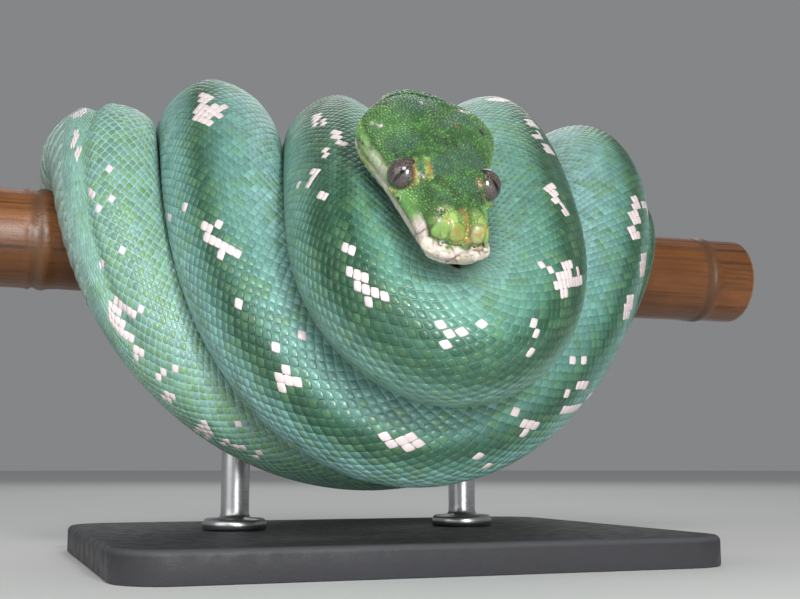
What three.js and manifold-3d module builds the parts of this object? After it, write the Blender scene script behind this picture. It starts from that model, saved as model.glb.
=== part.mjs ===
// Green tree python at rest on a bamboo perch, life size, in millimetres.
// +Z is up, the perch runs along X, the display side faces -Y and the floor is z = 0.
// The body hangs over the perch in three loops in front and three behind; it is one
// long tube whose centre line is a chain of half turns from crossing to crossing.
import * as THREE from 'three';
import { mergeVertices } from 'three/addons/utils/BufferGeometryUtils.js';
import Module from 'manifold-3d';

const wasm = await Module();
wasm.setup();
const { Manifold, Mesh } = wasm;

// ---- driving dimensions -------------------------------------------------------
const PERCH_HEIGHT = 88;        // perch axis above the floor
const PERCH_RADIUS = 14;
const PERCH_LEFT = -126;
const PERCH_RIGHT = 120;
const PERCH_JOINTS = [-107, 104]; // bamboo nodes, clear of the coils
const JOINT_RISE = 1.3;         // how far a bamboo node stands out
const JOINT_WIDTH = 5;
const CUT = 0.3;                // thin cut between neighbouring lengths
const CLEAR = 0.8;              // air left where two coils press together
const PERCH_CLEAR = 1.1;        // air between belly and perch
const STEP = 10;                // spacing of the body sections
const FINE_STEP = 6.5;          // closer spacing in a tight turn and along the tail
const PAST_BEND = 26;           // a tight turn is cut this far past its middle
const SIDES = 16;               // sides of a body section
const FINE = 2;                 // spacing of the centre line
const SMOOTH_ROUNDS = 40;       // rounds that ease the centre line over a crossing
const LEAST_GRIP = 0.35;        // a push nearly along the body is left out
const PRESS_AWAY = 45;          // stretches nearer than this along the body never press each other
const PRESS_REACH = 1.2;        // they press once nearer than this share of both radii
const PRESS_ROUNDS = 3;         // tries at lifting a point off the perch

// Where the centre line passes over the perch: x along it, z above its axis.
const CROSS = {
  neck: { x: -2, z: 36.5 },
  oneLeft: { x: -23.2, z: 30 },
  oneRight: { x: 23.7, z: 34 },
  twoLeft: { x: -59.2, z: 32.3 },
  twoRight: { x: 55.6, z: 31.2 },
  threeLeft: { x: -89.6, z: 27.9 },
  tail: { x: 77.4, z: 21 },
};

// Half turns from head to tail. side -1 hangs in front and +1 behind; reach is how far
// it stands from the perch and drop how far it hangs; power shapes the shoulder; sway,
// lean and tilt shift the loop sideways, out and down; thick lists the radius along it.
// A tight turn runs straight out and comes round on the radius bend; an open one swings
// across, widened by wide and skew.
const TURNS = [
  { from: 'neck', to: 'oneLeft', side: 1, reach: 50.7, drop: 14.1, power: 2.2, bend: 15,
    sway: 3.7, late: 2.5, lean: 0.04, tilt: -0.07, thick: [9.6, 11.3, 14.3] },
  { from: 'oneLeft', to: 'oneRight', side: -1, reach: 104, drop: 68.8, power: 2.08, bend: 22.6,
    sway: -25.8, late: 1.04, lean: 0.02, tilt: -0.03, thick: [14.3, 15.6, 15.3, 15.9, 16.8] },
  { from: 'oneRight', to: 'twoLeft', side: 1, reach: 90.7, drop: 42.4, power: 1.2, wide: 0.74,
    sway: 29.7, skew: 31.9, lean: -0.21, tilt: 0, thick: [16.8, 17.5, 17.2] },
  { from: 'twoLeft', to: 'twoRight', side: -1, reach: 72.7, drop: 83.4, power: 2.03, wide: 1.03,
    sway: -24.9, skew: -16.6, lean: -0.06, tilt: -0.1, thick: [17.2, 17, 16.5] },
  { from: 'twoRight', to: 'threeLeft', side: 1, reach: 80, drop: 83.5, power: 1.64, wide: 1.34,
    sway: 43.7, skew: -3.1, lean: 0.03, tilt: 0, thick: [16.5, 15.8, 15.2] },
  { from: 'threeLeft', to: 'tail', side: -1, reach: 40.7, drop: 81.5, power: 2.6, wide: 0.99,
    sway: -15.8, skew: -40.9, lean: 0.08, tilt: 0.04, thick: [15.2, 14.6, 12.5, 9, 6.3] },
];
const TURN_POINTS = 60;
const FLAT_WIDEN = 0.6;         // width gained for each share of height that flattening takes
const FLAT_CROSSING = 0.15;     // how much the third left crossing is flattened
const FLAT_LENGTH = 46;         // length over which the flattening dies away

// The tail winds once round the perch and ends beneath it.
const TAIL_TURN = 200 * Math.PI / 180;
const TAIL_RUN = 33.5;            // how far it creeps along the perch
const TAIL_TIP = 1.9;           // radius at the tip
const TAIL_TAPER = 1.2;         // above 1 the tail keeps its thickness longer
const TAIL_POINTS = 50;

// The vertebral ridge faces away from a line that sinks below the perch as the loop hangs.
const RIDGE_SINK = 15.6;
const RIDGE_LEAN = 0.56;        // sideways lean of the ridge at the bottom of a loop
const RIDGE_CENTRE = 10.4;      // x from which it leans
const RIDGE_HEIGHT = 0.045;     // share of the radius
const RIDGE_WIDTH = 0.34;       // spread round the body, radians
const FLANK_SAG = 0.05;         // the section is widest below its middle
const BELLY = 0.93;             // depth of the belly side as a share of the radius

// ---- head ---------------------------------------------------------------------
const SNOUT = new THREE.Vector3(-34, -124.2, -21.1); // mouth line at the snout, from the perch axis
const HEAD_PITCH = 45.5 * Math.PI / 180;
const HEAD_YAW = -8 * Math.PI / 180;
const HEAD_ROLL = 5.7 * Math.PI / 180;
const HEAD_LENGTH = 49.4;
const HEAD_SIZE = 1.02;         // size of the head against the plan below
// back: distance behind the snout; half: half width; top and low: height of the skull
// above and of the jaw below the mouth line; furrow: groove down the middle of the top.
const HEAD_SHAPE = [
  { back: 0, half: 5.4, top: 3.4, low: 2.1, furrow: 0 },
  { back: 1.4, half: 6.9, top: 6, low: 3.2, furrow: 0.3 },
  { back: 4, half: 7, top: 7.9, low: 4.2, furrow: 1 },
  { back: 7.5, half: 7.8, top: 8.4, low: 4.8, furrow: 1.4 },
  { back: 11, half: 8.6, top: 7.9, low: 5.1, furrow: 0.7 },
  { back: 15, half: 9.5, top: 8.6, low: 5.3, furrow: 0.2 },
  { back: 19, half: 10.5, top: 9.7, low: 5.5, furrow: 0.1 },
  { back: 23, half: 11.3, top: 10.3, low: 5.8, furrow: 0.3 },
  { back: 28, half: 12.8, top: 10.9, low: 6.2, furrow: 0.8 },
  { back: 33, half: 14.5, top: 11.5, low: 6.7, furrow: 1 },
  { back: 38, half: 15.7, top: 11.7, low: 7.2, furrow: 1.2 },
  { back: 43, half: 15.5, top: 11.2, low: 7.6, furrow: 1 },
  { back: 47, half: 13.4, top: 10.1, low: 8, furrow: 0.6 },
  { back: HEAD_LENGTH, half: 11.2, top: 8.6, low: 8.7, furrow: 0.3 },
];
const HEAD_SQUARE = 2.35;       // squareness of the skull section
const JAW_SQUARE = 2.1;
const JAW_INSET = 0.5;          // the lower jaw tucks in under the lip
const FURROW_SPREAD = 0.2;      // spread of the furrow as a share of the half width
const HEAD_ARC = 18;            // points over the top of a skull section
const JAW_ARC = 12;
const NECK_CENTRE = -1.8;       // neck axis above the mouth line
const NECK_RADIUS = 8.3;
const NECK_FLAT = 0.93;         // height of the neck against its width behind the skull
const NAPE_BEND = 9.5;          // radius of the bend down and to the left behind the skull
const NAPE_TURN = (58 * Math.PI) / 180;
const NAPE_SWAY = (30 * Math.PI) / 180;
const NAPE_POINTS = 6;
const NECK_LEAVE = 0.6;         // pull of the neck curve where it leaves that bend
const NECK_ARRIVE = 1.07;       // and where it reaches the perch
const NECK_RISE = 0.47;         // upward slope of the neck at the perch
const NECK_ROOT = 10;           // the neck line starts this far inside the skull
const NECK_HELD = 24;           // points at the start of the line that aren't smoothed
const NECK_CUT = 0.35;          // cut between the skull and the neck
const NECK_POINTS = 52;
const NECK_END = 40;            // the neck is cut off this far before its crossing
const EYE_BACK = 19.9;
const EYE_OUT = 8.5;
const EYE_UP = 5.1;
const EYE_RADIUS = 3.8;
const EYE_CLEAR = 0.15;
const EYE_SIDES = 16;

// ---- stand --------------------------------------------------------------------
const BASE_LENGTH = 160;
const BASE_DEPTH = 130;
const BASE_CENTRE = { x: -12, y: -8 };
const BASE_THICK = 8;
const BASE_CORNER = 14;
const ROD_RADIUS = 4;
const ROD_X = { stand_rod_left: -50, stand_rod_right: 20 };
const ROD_SIDES = 24;
const COLLAR_RADIUS = 9;
const COLLAR_TOP = 8;           // the collar's sides lean in to this radius
const COLLAR_HEIGHT = 3;
const GAP = 0.3;                // between touching pieces of the stand
const CORNER_STEPS = 6;
const PERCH_SIDES = 24;
const SADDLE_SIDES = 64;

// ---- materials ----------------------------------------------------------------
const paint = (color, roughness, metalness = 0) =>
  new THREE.MeshStandardMaterial({ color, roughness, metalness });
const GREEN = paint(0x2f8a5c, 0.45);
const TEAL = paint(0x4fa394, 0.45);
const CREAM = paint(0xdedfc4, 0.5);
const EYE = paint(0x4a4238, 0.15);
const BAMBOO = paint(0x9a6a34, 0.55);
const BASE_PAINT = paint(0x26282b, 0.6);
const STEEL = paint(0x9ea3a8, 0.3, 1);

const model = new THREE.Group();
const onPerch = new THREE.Group(); // its origin is on the perch axis
onPerch.position.z = PERCH_HEIGHT;
const stand = new THREE.Group();
model.add(onPerch, stand);

const lerpList = (list, t) => {
  const at = Math.min(Math.max(t, 0), 1) * (list.length - 1);
  const i = Math.min(Math.floor(at), list.length - 2);
  return list[i] + (list[i + 1] - list[i]) * (at - i);
};

// ---- centre line --------------------------------------------------------------
// Each point is [x, y, z, radius, hang, flat].
function headFrame() {
  const f = new THREE.Vector3(
    Math.sin(HEAD_YAW) * Math.cos(HEAD_PITCH),
    -Math.cos(HEAD_YAW) * Math.cos(HEAD_PITCH),
    -Math.sin(HEAD_PITCH),
  );
  const level = new THREE.Vector3().crossVectors(f, new THREE.Vector3(0, 0, 1)).normalize();
  const over = new THREE.Vector3().crossVectors(level, f);
  const right = level.clone().multiplyScalar(Math.cos(HEAD_ROLL)).addScaledVector(over, Math.sin(HEAD_ROLL));
  const up = over.clone().multiplyScalar(Math.cos(HEAD_ROLL)).addScaledVector(level, -Math.sin(HEAD_ROLL));
  return { f, right, up };
}

const HEAD = headFrame();

// A place on the head: back from the snout, to the snake's right, above the mouth line.
function onHead(back, right, up) {
  return SNOUT.clone()
    .addScaledVector(HEAD.f, -back * HEAD_SIZE)
    .addScaledVector(HEAD.right, right * HEAD_SIZE)
    .addScaledVector(HEAD.up, up * HEAD_SIZE);
}

function neckPoints() {
  const root = onHead(HEAD_LENGTH - NECK_ROOT, 0, NECK_CENTRE);
  const skull = onHead(HEAD_LENGTH, 0, NECK_CENTRE);
  const down = HEAD.up.clone().multiplyScalar(-Math.cos(NAPE_SWAY))
    .addScaledVector(HEAD.right, -Math.sin(NAPE_SWAY));
  const onNape = (turn) => skull.clone()
    .addScaledVector(down, NAPE_BEND * (1 - Math.cos(turn)))
    .addScaledVector(HEAD.f, -NAPE_BEND * Math.sin(turn));
  const points = [[root.x, root.y, root.z, NECK_RADIUS, 1, 0]];
  for (let i = 0; i < NAPE_POINTS; i += 1) {
    const p = onNape((NAPE_TURN * i) / NAPE_POINTS);
    points.push([p.x, p.y, p.z, NECK_RADIUS, 1, 0]);
  }
  const a = onNape(NAPE_TURN);
  const b = new THREE.Vector3(CROSS.neck.x, 0, CROSS.neck.z);
  const span = a.distanceTo(b);
  const leave = down.clone().multiplyScalar(Math.sin(NAPE_TURN))
    .addScaledVector(HEAD.f, -Math.cos(NAPE_TURN)).multiplyScalar(span * NECK_LEAVE);
  const arrive = new THREE.Vector3(0, 1, NECK_RISE).multiplyScalar(span * NECK_ARRIVE);
  for (let i = 0; i < NECK_POINTS; i += 1) {
    const u = i / NECK_POINTS;
    const p = new THREE.Vector3()
      .addScaledVector(a, 2 * u ** 3 - 3 * u ** 2 + 1)
      .addScaledVector(leave, u ** 3 - 2 * u ** 2 + u)
      .addScaledVector(b, -2 * u ** 3 + 3 * u ** 2)
      .addScaledVector(arrive, u ** 3 - u ** 2);
    points.push([p.x, p.y, p.z, NECK_RADIUS + (TURNS[0].thick[0] - NECK_RADIUS) * u, 1 - u, 0]);
  }
  return points;
}

// Across a turn, share runs from -1 to 1 and out from 0 to 1 and back.
function turnCourse(turn, u) {
  if (!turn.bend) {
    return [-Math.cos(Math.PI * u), Math.sin(Math.PI * u)];
  }
  const straight = turn.reach - turn.bend;
  const total = 2 * straight + Math.PI * turn.bend;
  const run = total * u;
  const angle = Math.min(Math.max((run - straight) / turn.bend, 0), Math.PI);
  const away = Math.min(run, total - run, straight) + turn.bend * Math.sin(angle);
  return [-Math.cos(angle), away / turn.reach];
}

function turnPoints(turn) {
  const a = CROSS[turn.from];
  const b = CROSS[turn.to];
  const half = (b.x - a.x) / 2;
  const points = [];
  for (let i = 0; i < TURN_POINTS; i += 1) {
    const u = i / TURN_POINTS;
    const [share, out] = turnCourse(turn, u);
    let x = (a.x + b.x) / 2;
    if (turn.bend) {
      const ease = out * out * (3 - 2 * out);
      x += turn.sway * out ** turn.late;
      x += share * (half + (Math.sign(half) * turn.bend - half) * ease);
    } else {
      x += turn.sway * out ** 2 + share * half * (1 + (turn.wide - 1) * out) - turn.skew * out ** 2 * share;
    }
    const y = turn.side * turn.reach * out * (1 - turn.lean * share);
    const z = a.z + ((b.z - a.z) * (1 + share)) / 2 - turn.drop * out ** turn.power * (1 - turn.tilt * share);
    points.push([x, y, z, lerpList(turn.thick, u), out, 0]);
  }
  return points;
}

function tailPoints() {
  const start = CROSS.tail;
  const first = TURNS[TURNS.length - 1].thick.at(-1);
  const points = [];
  for (let i = 0; i <= TAIL_POINTS; i += 1) {
    const t = i / TAIL_POINTS;
    const radius = first + (TAIL_TIP - first) * t ** TAIL_TAPER;
    const out = PERCH_RADIUS + PERCH_CLEAR + radius;
    const turned = TAIL_TURN * t;
    points.push([start.x - TAIL_RUN * t, out * Math.sin(turned), out * Math.cos(turned), radius, 0, 0]);
  }
  return points;
}

// The same line with its points evenly spaced.
function spaced(points, step) {
  const along = [0];
  for (let i = 1; i < points.length; i += 1) {
    const [p, q] = [points[i - 1], points[i]];
    along.push(along[i - 1] + Math.hypot(q[0] - p[0], q[1] - p[1], q[2] - p[2]));
  }
  const total = along[along.length - 1];
  const count = Math.round(total / step);
  const out = [];
  let j = 1;
  for (let i = 0; i <= count; i += 1) {
    const s = (total * i) / count;
    while (j < along.length - 1 && along[j] < s) {
      j += 1;
    }
    const f = (s - along[j - 1]) / (along[j] - along[j - 1]);
    out.push(points[j].map((v, k) => points[j - 1][k] + (v - points[j - 1][k]) * f));
  }
  return out;
}

function eased(points, rounds) {
  let now = points;
  for (let round = 0; round < rounds; round += 1) {
    now = now.map((p, i) => (i < NECK_HELD || i === now.length - 1 ? p
      : p.map((v, k) => 0.5 * v + 0.25 * (now[i - 1][k] + now[i + 1][k]))));
  }
  return now;
}

const raw = [...neckPoints(), ...TURNS.flatMap(turnPoints), ...tailPoints()];
const line = spaced(eased(spaced(raw, FINE), SMOOTH_ROUNDS), FINE);
const lineStep = line.slice(1).reduce(
  (sum, p, i) => sum + Math.hypot(p[0] - line[i][0], p[1] - line[i][1], p[2] - line[i][2]), 0,
) / (line.length - 1);
const bodyLength = lineStep * (line.length - 1);

// Length along the body at which it passes over the perch.
function crossingAt(name) {
  let best = 0;
  let least = Infinity;
  line.forEach((p, i) => {
    const d = Math.hypot(p[0] - CROSS[name].x, p[1], p[2] - CROSS[name].z);
    if (d < least) {
      least = d;
      best = i;
    }
  });
  return best * lineStep;
}

const flatAt = crossingAt('threeLeft');
line.forEach((p, i) => {
  p[5] = FLAT_CROSSING * Math.exp(-(((i * lineStep - flatAt) / FLAT_LENGTH) ** 2));
});

function at(s) {
  const t = Math.min(Math.max(s / lineStep, 0), line.length - 1.0001);
  const i = Math.floor(t);
  return line[i].map((v, k) => v + (line[i + 1][k] - v) * (t - i));
}

function frameAt(s) {
  const p = at(s);
  const ahead = at(s + FINE);
  const behind = at(s - FINE);
  const along = new THREE.Vector3(...ahead).sub(new THREE.Vector3(...behind)).normalize();
  const ridge = new THREE.Vector3((p[0] - RIDGE_CENTRE) * RIDGE_LEAN * p[4], p[1], p[2] + RIDGE_SINK * p[4]);
  ridge.addScaledVector(along, -ridge.dot(along)).normalize();
  const side = new THREE.Vector3().crossVectors(along, ridge);
  return { centre: new THREE.Vector3(p[0], p[1], p[2]), radius: p[3], flat: p[5], along, ridge, side };
}

// ---- body sections ------------------------------------------------------------
function sectionShape(angle, radius, flat) {
  const c = Math.cos(angle);
  const wide = radius * (1 + FLAT_WIDEN * flat) * Math.sin(angle) * (1 - FLANK_SAG * c);
  const turned = Math.atan2(Math.sin(angle), c);
  const crest = RIDGE_HEIGHT * Math.exp(-((turned / RIDGE_WIDTH) ** 2));
  const high = radius * (1 - flat) * (c > 0 ? c + crest : c * BELLY);
  return [wide, high];
}

// Moves a point within its section plane until it is at most `limit` along `dir`.
function heldBack(point, centre, dir, limit, along) {
  const excess = point.clone().sub(centre).dot(dir) - limit;
  const slide = dir.clone().addScaledVector(along, -dir.dot(along));
  const grip = slide.length();
  if (excess > 0 && grip > LEAST_GRIP) {
    point.addScaledVector(slide, -excess / (grip * grip));
  }
}

// Where two passes of the body lean on each other the skin flattens on a plane between
// them, shared out by their radii; where the belly lies on the perch it takes its curve.
function pressed(point, f, s) {
  const out = point.clone();
  const dir = new THREE.Vector3();
  for (let i = 0; i < line.length; i += 2) {
    if (Math.abs(i * lineStep - s) > PRESS_AWAY) {
      const q = line[i];
      dir.set(q[0] - f.centre.x, q[1] - f.centre.y, q[2] - f.centre.z);
      const far = dir.length();
      if (far < (f.radius + q[3]) * PRESS_REACH + CLEAR) {
        const limit = (far * f.radius) / (f.radius + q[3]) - CLEAR / 2;
        heldBack(out, f.centre, dir.divideScalar(far), limit, f.along);
      }
    }
  }
  const least = PERCH_RADIUS + PERCH_CLEAR;
  for (let round = 0; round < PRESS_ROUNDS; round += 1) {
    const fromAxis = Math.hypot(out.y, out.z);
    if (fromAxis < least) {
      dir.set(0, -out.y / fromAxis, -out.z / fromAxis);
      heldBack(out, out.clone(), dir, fromAxis - least, f.along);
    }
  }
  return out;
}

function ring(s) {
  const f = frameAt(s);
  const points = [];
  for (let k = 0; k < SIDES; k += 1) {
    const [wide, high] = sectionShape((2 * Math.PI * k) / SIDES, f.radius, f.flat);
    const p = f.centre.clone().addScaledVector(f.side, wide).addScaledVector(f.ridge, high);
    points.push(pressed(p, f, s));
  }
  return points;
}

// The first ring of the neck lies flat against the back of the skull.
function skullEnd() {
  const points = [];
  for (let k = 0; k < SIDES; k += 1) {
    const [wide, high] = sectionShape((2 * Math.PI * k) / SIDES, NECK_RADIUS, 0);
    const up = NECK_CENTRE + (NECK_FLAT * high) / HEAD_SIZE;
    points.push(onHead(HEAD_LENGTH + NECK_CUT, -wide / HEAD_SIZE, up));
  }
  return points;
}

// ---- solids -------------------------------------------------------------------
// Closed solid through a row of rings with the same number of points.
function loft(rings) {
  const count = rings[0].length;
  const places = [];
  const faces = [];
  rings.flat().forEach((p) => places.push(p.x, p.y, p.z));
  for (let i = 0; i + 1 < rings.length; i += 1) {
    for (let k = 0; k < count; k += 1) {
      const a = i * count + k;
      const b = i * count + ((k + 1) % count);
      faces.push(a, b, b + count, a, b + count, a + count);
    }
  }
  [0, rings.length - 1].forEach((i) => {
    const middle = rings[i].reduce((m, p) => m.add(p), new THREE.Vector3()).divideScalar(count);
    const hub = places.length / 3;
    places.push(middle.x, middle.y, middle.z);
    for (let k = 0; k < count; k += 1) {
      const a = i * count + k;
      const b = i * count + ((k + 1) % count);
      if (i === 0) {
        faces.push(hub, b, a);
      } else {
        faces.push(hub, a, b);
      }
    }
  });
  return facingOut(places, faces);
}

function volume(places, faces) {
  let sum = 0;
  const [a, b, c] = [new THREE.Vector3(), new THREE.Vector3(), new THREE.Vector3()];
  for (let i = 0; i < faces.length; i += 3) {
    a.fromArray(places, faces[i] * 3);
    b.fromArray(places, faces[i + 1] * 3);
    c.fromArray(places, faces[i + 2] * 3);
    sum += a.dot(b.cross(c)) / 6;
  }
  return sum;
}

function facingOut(places, faces) {
  if (volume(places, faces) < 0) {
    for (let i = 0; i < faces.length; i += 3) {
      [faces[i], faces[i + 1]] = [faces[i + 1], faces[i]];
    }
  }
  return { places, faces };
}

function toManifold(solid) {
  return new Manifold(new Mesh({
    numProp: 3,
    vertProperties: new Float32Array(solid.places),
    triVerts: new Uint32Array(solid.faces),
  }));
}

function fromManifold(solid) {
  const mesh = solid.getMesh();
  return { places: Array.from(mesh.vertProperties), faces: Array.from(mesh.triVerts) };
}

// Places and faces of a three.js shape with its shared corners merged.
function fromGeometry(geometry) {
  geometry.deleteAttribute('normal');
  geometry.deleteAttribute('uv');
  const merged = mergeVertices(geometry);
  return { places: Array.from(merged.attributes.position.array), faces: Array.from(merged.index.array) };
}

// Closed cylinder or cone that stands on z = 0.
function column(bottom, top, height, sides) {
  const shape = new THREE.CylinderGeometry(top, bottom, height, sides);
  shape.rotateX(Math.PI / 2);
  shape.translate(0, 0, height / 2);
  return toManifold(fromGeometry(shape));
}

function addNode(name, solid, material, holder = onPerch) {
  const geometry = new THREE.BufferGeometry();
  geometry.setAttribute('position', new THREE.Float32BufferAttribute(solid.places, 3));
  geometry.setIndex(solid.faces);
  geometry.computeVertexNormals();
  const mesh = new THREE.Mesh(geometry, material);
  mesh.name = name;
  holder.add(mesh);
  return mesh;
}

// Body lengths, from the neck to the tail tip, cut at every crossing and loop bottom.
const bottomOf = (turn) => (crossingAt(turn.from) + crossingAt(turn.to)) / 2;
const cuts = [
  { end: NECK_ROOT * HEAD_SIZE },
  { end: crossingAt('neck') - NECK_END, step: STEP },
];
TURNS.forEach((turn) => {
  const step = turn.bend ? FINE_STEP : STEP;
  cuts.push({ end: bottomOf(turn) + (turn.bend ? PAST_BEND : 0), step }, { end: crossingAt(turn.to), step });
});
cuts.push({ end: bodyLength, step: FINE_STEP });

cuts.slice(1).forEach(({ end, step }, i) => {
  const start = cuts[i].end;
  const last = i === cuts.length - 2;
  const from = i === 0 ? start : start + CUT / 2;
  const to = last ? end : end - CUT / 2;
  const count = Math.round((to - from) / step);
  const rings = i === 0 ? [skullEnd()] : [ring(from)];
  for (let j = 1; j <= count; j += 1) {
    rings.push(ring(from + ((to - from) * j) / count));
  }
  const name = i === 0 ? 'neck' : (last ? 'tail' : `trunk_${String(i).padStart(2, '0')}`);
  addNode(name, loft(rings), i % 2 ? GREEN : TEAL);
});

// Head: skull with the upper jaw, and the lower jaw beneath the mouth line.
const power = (v, n) => Math.sign(v) * Math.abs(v) ** (2 / n);

function skullRing(shape) {
  const points = [];
  for (let k = 0; k <= HEAD_ARC; k += 1) {
    const turn = (Math.PI * k) / HEAD_ARC;
    const right = shape.half * power(Math.cos(turn), HEAD_SQUARE);
    const dent = shape.furrow * Math.exp(-((right / (FURROW_SPREAD * shape.half)) ** 2));
    const up = CUT / 2 + shape.top * power(Math.sin(turn), HEAD_SQUARE) - dent * Math.sin(turn);
    points.push(onHead(shape.back, right, up));
  }
  return points;
}

function jawRing(shape) {
  const points = [];
  for (let k = 0; k <= JAW_ARC; k += 1) {
    const turn = (Math.PI * k) / JAW_ARC;
    const right = (shape.half - JAW_INSET) * power(Math.cos(turn), JAW_SQUARE);
    const down = CUT / 2 + shape.low * power(Math.sin(turn), JAW_SQUARE);
    points.push(onHead(shape.back + JAW_INSET * (shape.back === 0 ? 1 : 0), right, -down));
  }
  return points;
}

function ball(centre, radius) {
  const shape = new THREE.SphereGeometry(radius, EYE_SIDES, EYE_SIDES / 2);
  shape.translate(centre.x, centre.y, centre.z);
  return fromGeometry(shape);
}

let skull = toManifold(loft(HEAD_SHAPE.map(skullRing)));
Object.entries({ eye_right: 1, eye_left: -1 }).forEach(([name, side]) => {
  const centre = onHead(EYE_BACK, side * EYE_OUT, EYE_UP);
  skull = skull.subtract(toManifold(ball(centre, EYE_RADIUS + EYE_CLEAR)));
  addNode(name, ball(centre, EYE_RADIUS), EYE);
});
addNode('head', fromManifold(skull), GREEN);
addNode('lower_jaw', loft(HEAD_SHAPE.map(jawRing)), CREAM);

// ---- perch and stand ----------------------------------------------------------
// Bamboo cane with its nodes, turned about its own axis.
function perchRadius(x) {
  return PERCH_JOINTS.reduce(
    (r, joint) => r + JOINT_RISE * Math.exp(-(((x - joint) / (JOINT_WIDTH / 2)) ** 2)), PERCH_RADIUS,
  );
}

const perchStations = [PERCH_LEFT];
PERCH_JOINTS.forEach((joint) => {
  for (let k = -2; k <= 2; k += 1) {
    perchStations.push(joint + (k * JOINT_WIDTH) / 3);
  }
});
perchStations.push(PERCH_RIGHT);
perchStations.sort((p, q) => p - q);
const perchRings = perchStations.map((x) => {
  const points = [];
  for (let k = 0; k < PERCH_SIDES; k += 1) {
    const turn = (2 * Math.PI * k) / PERCH_SIDES;
    const radius = perchRadius(x);
    points.push(new THREE.Vector3(x, radius * Math.cos(turn), radius * Math.sin(turn)));
  }
  return points;
});
addNode('perch', loft(perchRings), BAMBOO);

// Stand: a flat base with round corners.
const baseOutline = new THREE.Shape();
const cornerX = BASE_LENGTH / 2 - BASE_CORNER;
const cornerY = BASE_DEPTH / 2 - BASE_CORNER;
[[1, -1], [1, 1], [-1, 1], [-1, -1]].forEach(([sx, sy], quarter) => {
  const from = ((quarter - 1) * Math.PI) / 2;
  baseOutline.absarc(sx * cornerX, sy * cornerY, BASE_CORNER, from, from + Math.PI / 2, false);
});
const slab = { depth: BASE_THICK, bevelEnabled: false, curveSegments: CORNER_STEPS };
const baseSolid = fromGeometry(new THREE.ExtrudeGeometry(baseOutline, slab));
addNode('stand_base', baseSolid, BASE_PAINT, stand).position.set(BASE_CENTRE.x, BASE_CENTRE.y, 0);

// Two rods with a collar at the foot, their tops hollowed to cradle the cane.
const foot = BASE_THICK + GAP;
const rodTop = PERCH_HEIGHT - PERCH_RADIUS / 2;
const saddleRadius = PERCH_RADIUS + GAP;
const saddleShape = new THREE.CylinderGeometry(saddleRadius, saddleRadius, ROD_RADIUS * 4, SADDLE_SIDES);
saddleShape.rotateZ(Math.PI / 2);
saddleShape.translate(0, 0, PERCH_HEIGHT - foot);
const rod = column(ROD_RADIUS, ROD_RADIUS, rodTop - foot, ROD_SIDES)
  .add(column(COLLAR_RADIUS, COLLAR_TOP, COLLAR_HEIGHT, ROD_SIDES))
  .subtract(toManifold(fromGeometry(saddleShape)));
Object.entries(ROD_X).forEach(([name, x]) => {
  addNode(name, fromManifold(rod), STEEL, stand).position.set(x, 0, foot);
});

export default model;
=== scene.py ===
import math

import bpy
import numpy as np
from mathutils import Matrix


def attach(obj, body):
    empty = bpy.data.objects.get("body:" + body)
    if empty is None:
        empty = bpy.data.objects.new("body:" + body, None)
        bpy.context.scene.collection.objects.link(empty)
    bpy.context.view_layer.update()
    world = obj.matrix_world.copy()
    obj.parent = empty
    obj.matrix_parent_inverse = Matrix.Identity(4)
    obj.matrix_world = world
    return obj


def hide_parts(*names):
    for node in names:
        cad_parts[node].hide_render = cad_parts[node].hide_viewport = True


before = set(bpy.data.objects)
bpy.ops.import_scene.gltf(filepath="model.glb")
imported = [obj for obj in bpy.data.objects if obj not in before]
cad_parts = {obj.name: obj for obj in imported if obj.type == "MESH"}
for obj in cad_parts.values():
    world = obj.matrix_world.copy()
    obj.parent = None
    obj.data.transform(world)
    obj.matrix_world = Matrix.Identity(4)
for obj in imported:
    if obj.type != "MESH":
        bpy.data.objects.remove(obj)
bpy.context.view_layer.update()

bl_info = {
    "name": "Green tree python on its perch",
    "version": (1, 0, 0),
    "blender": (4, 5, 0),
    "location": "3D View > Sidebar > Tree Python",
    "description": "Skin, scales, eyes, cane and display stand of a coiled green tree python",
    "category": "Object",
}

# Lengths below are in millimetres from the middle of the perch's axis, with +Z up and the
# display side towards -Y. MM turns them into metres.
MM = 0.001
PERCH_HEIGHT = 88.0
PERCH_RADIUS = 14.0
PERCH_ENDS = (-126.0, 120.0)
PERCH_JOINTS = (-107.0, 104.0)

# ---- the body's line ----
FINE = 2.0                # spacing of the line's points
SMOOTH_ROUNDS = 40
CROSS = {                 # x and z where the line passes over the perch
    "neck": (-2.0, 36.5),
    "one_left": (-23.2, 30.0),
    "one_right": (23.7, 34.0),
    "two_left": (-59.2, 32.3),
    "two_right": (55.6, 31.2),
    "three_left": (-89.6, 27.9),
    "tail": (77.4, 21.0),
}
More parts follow.
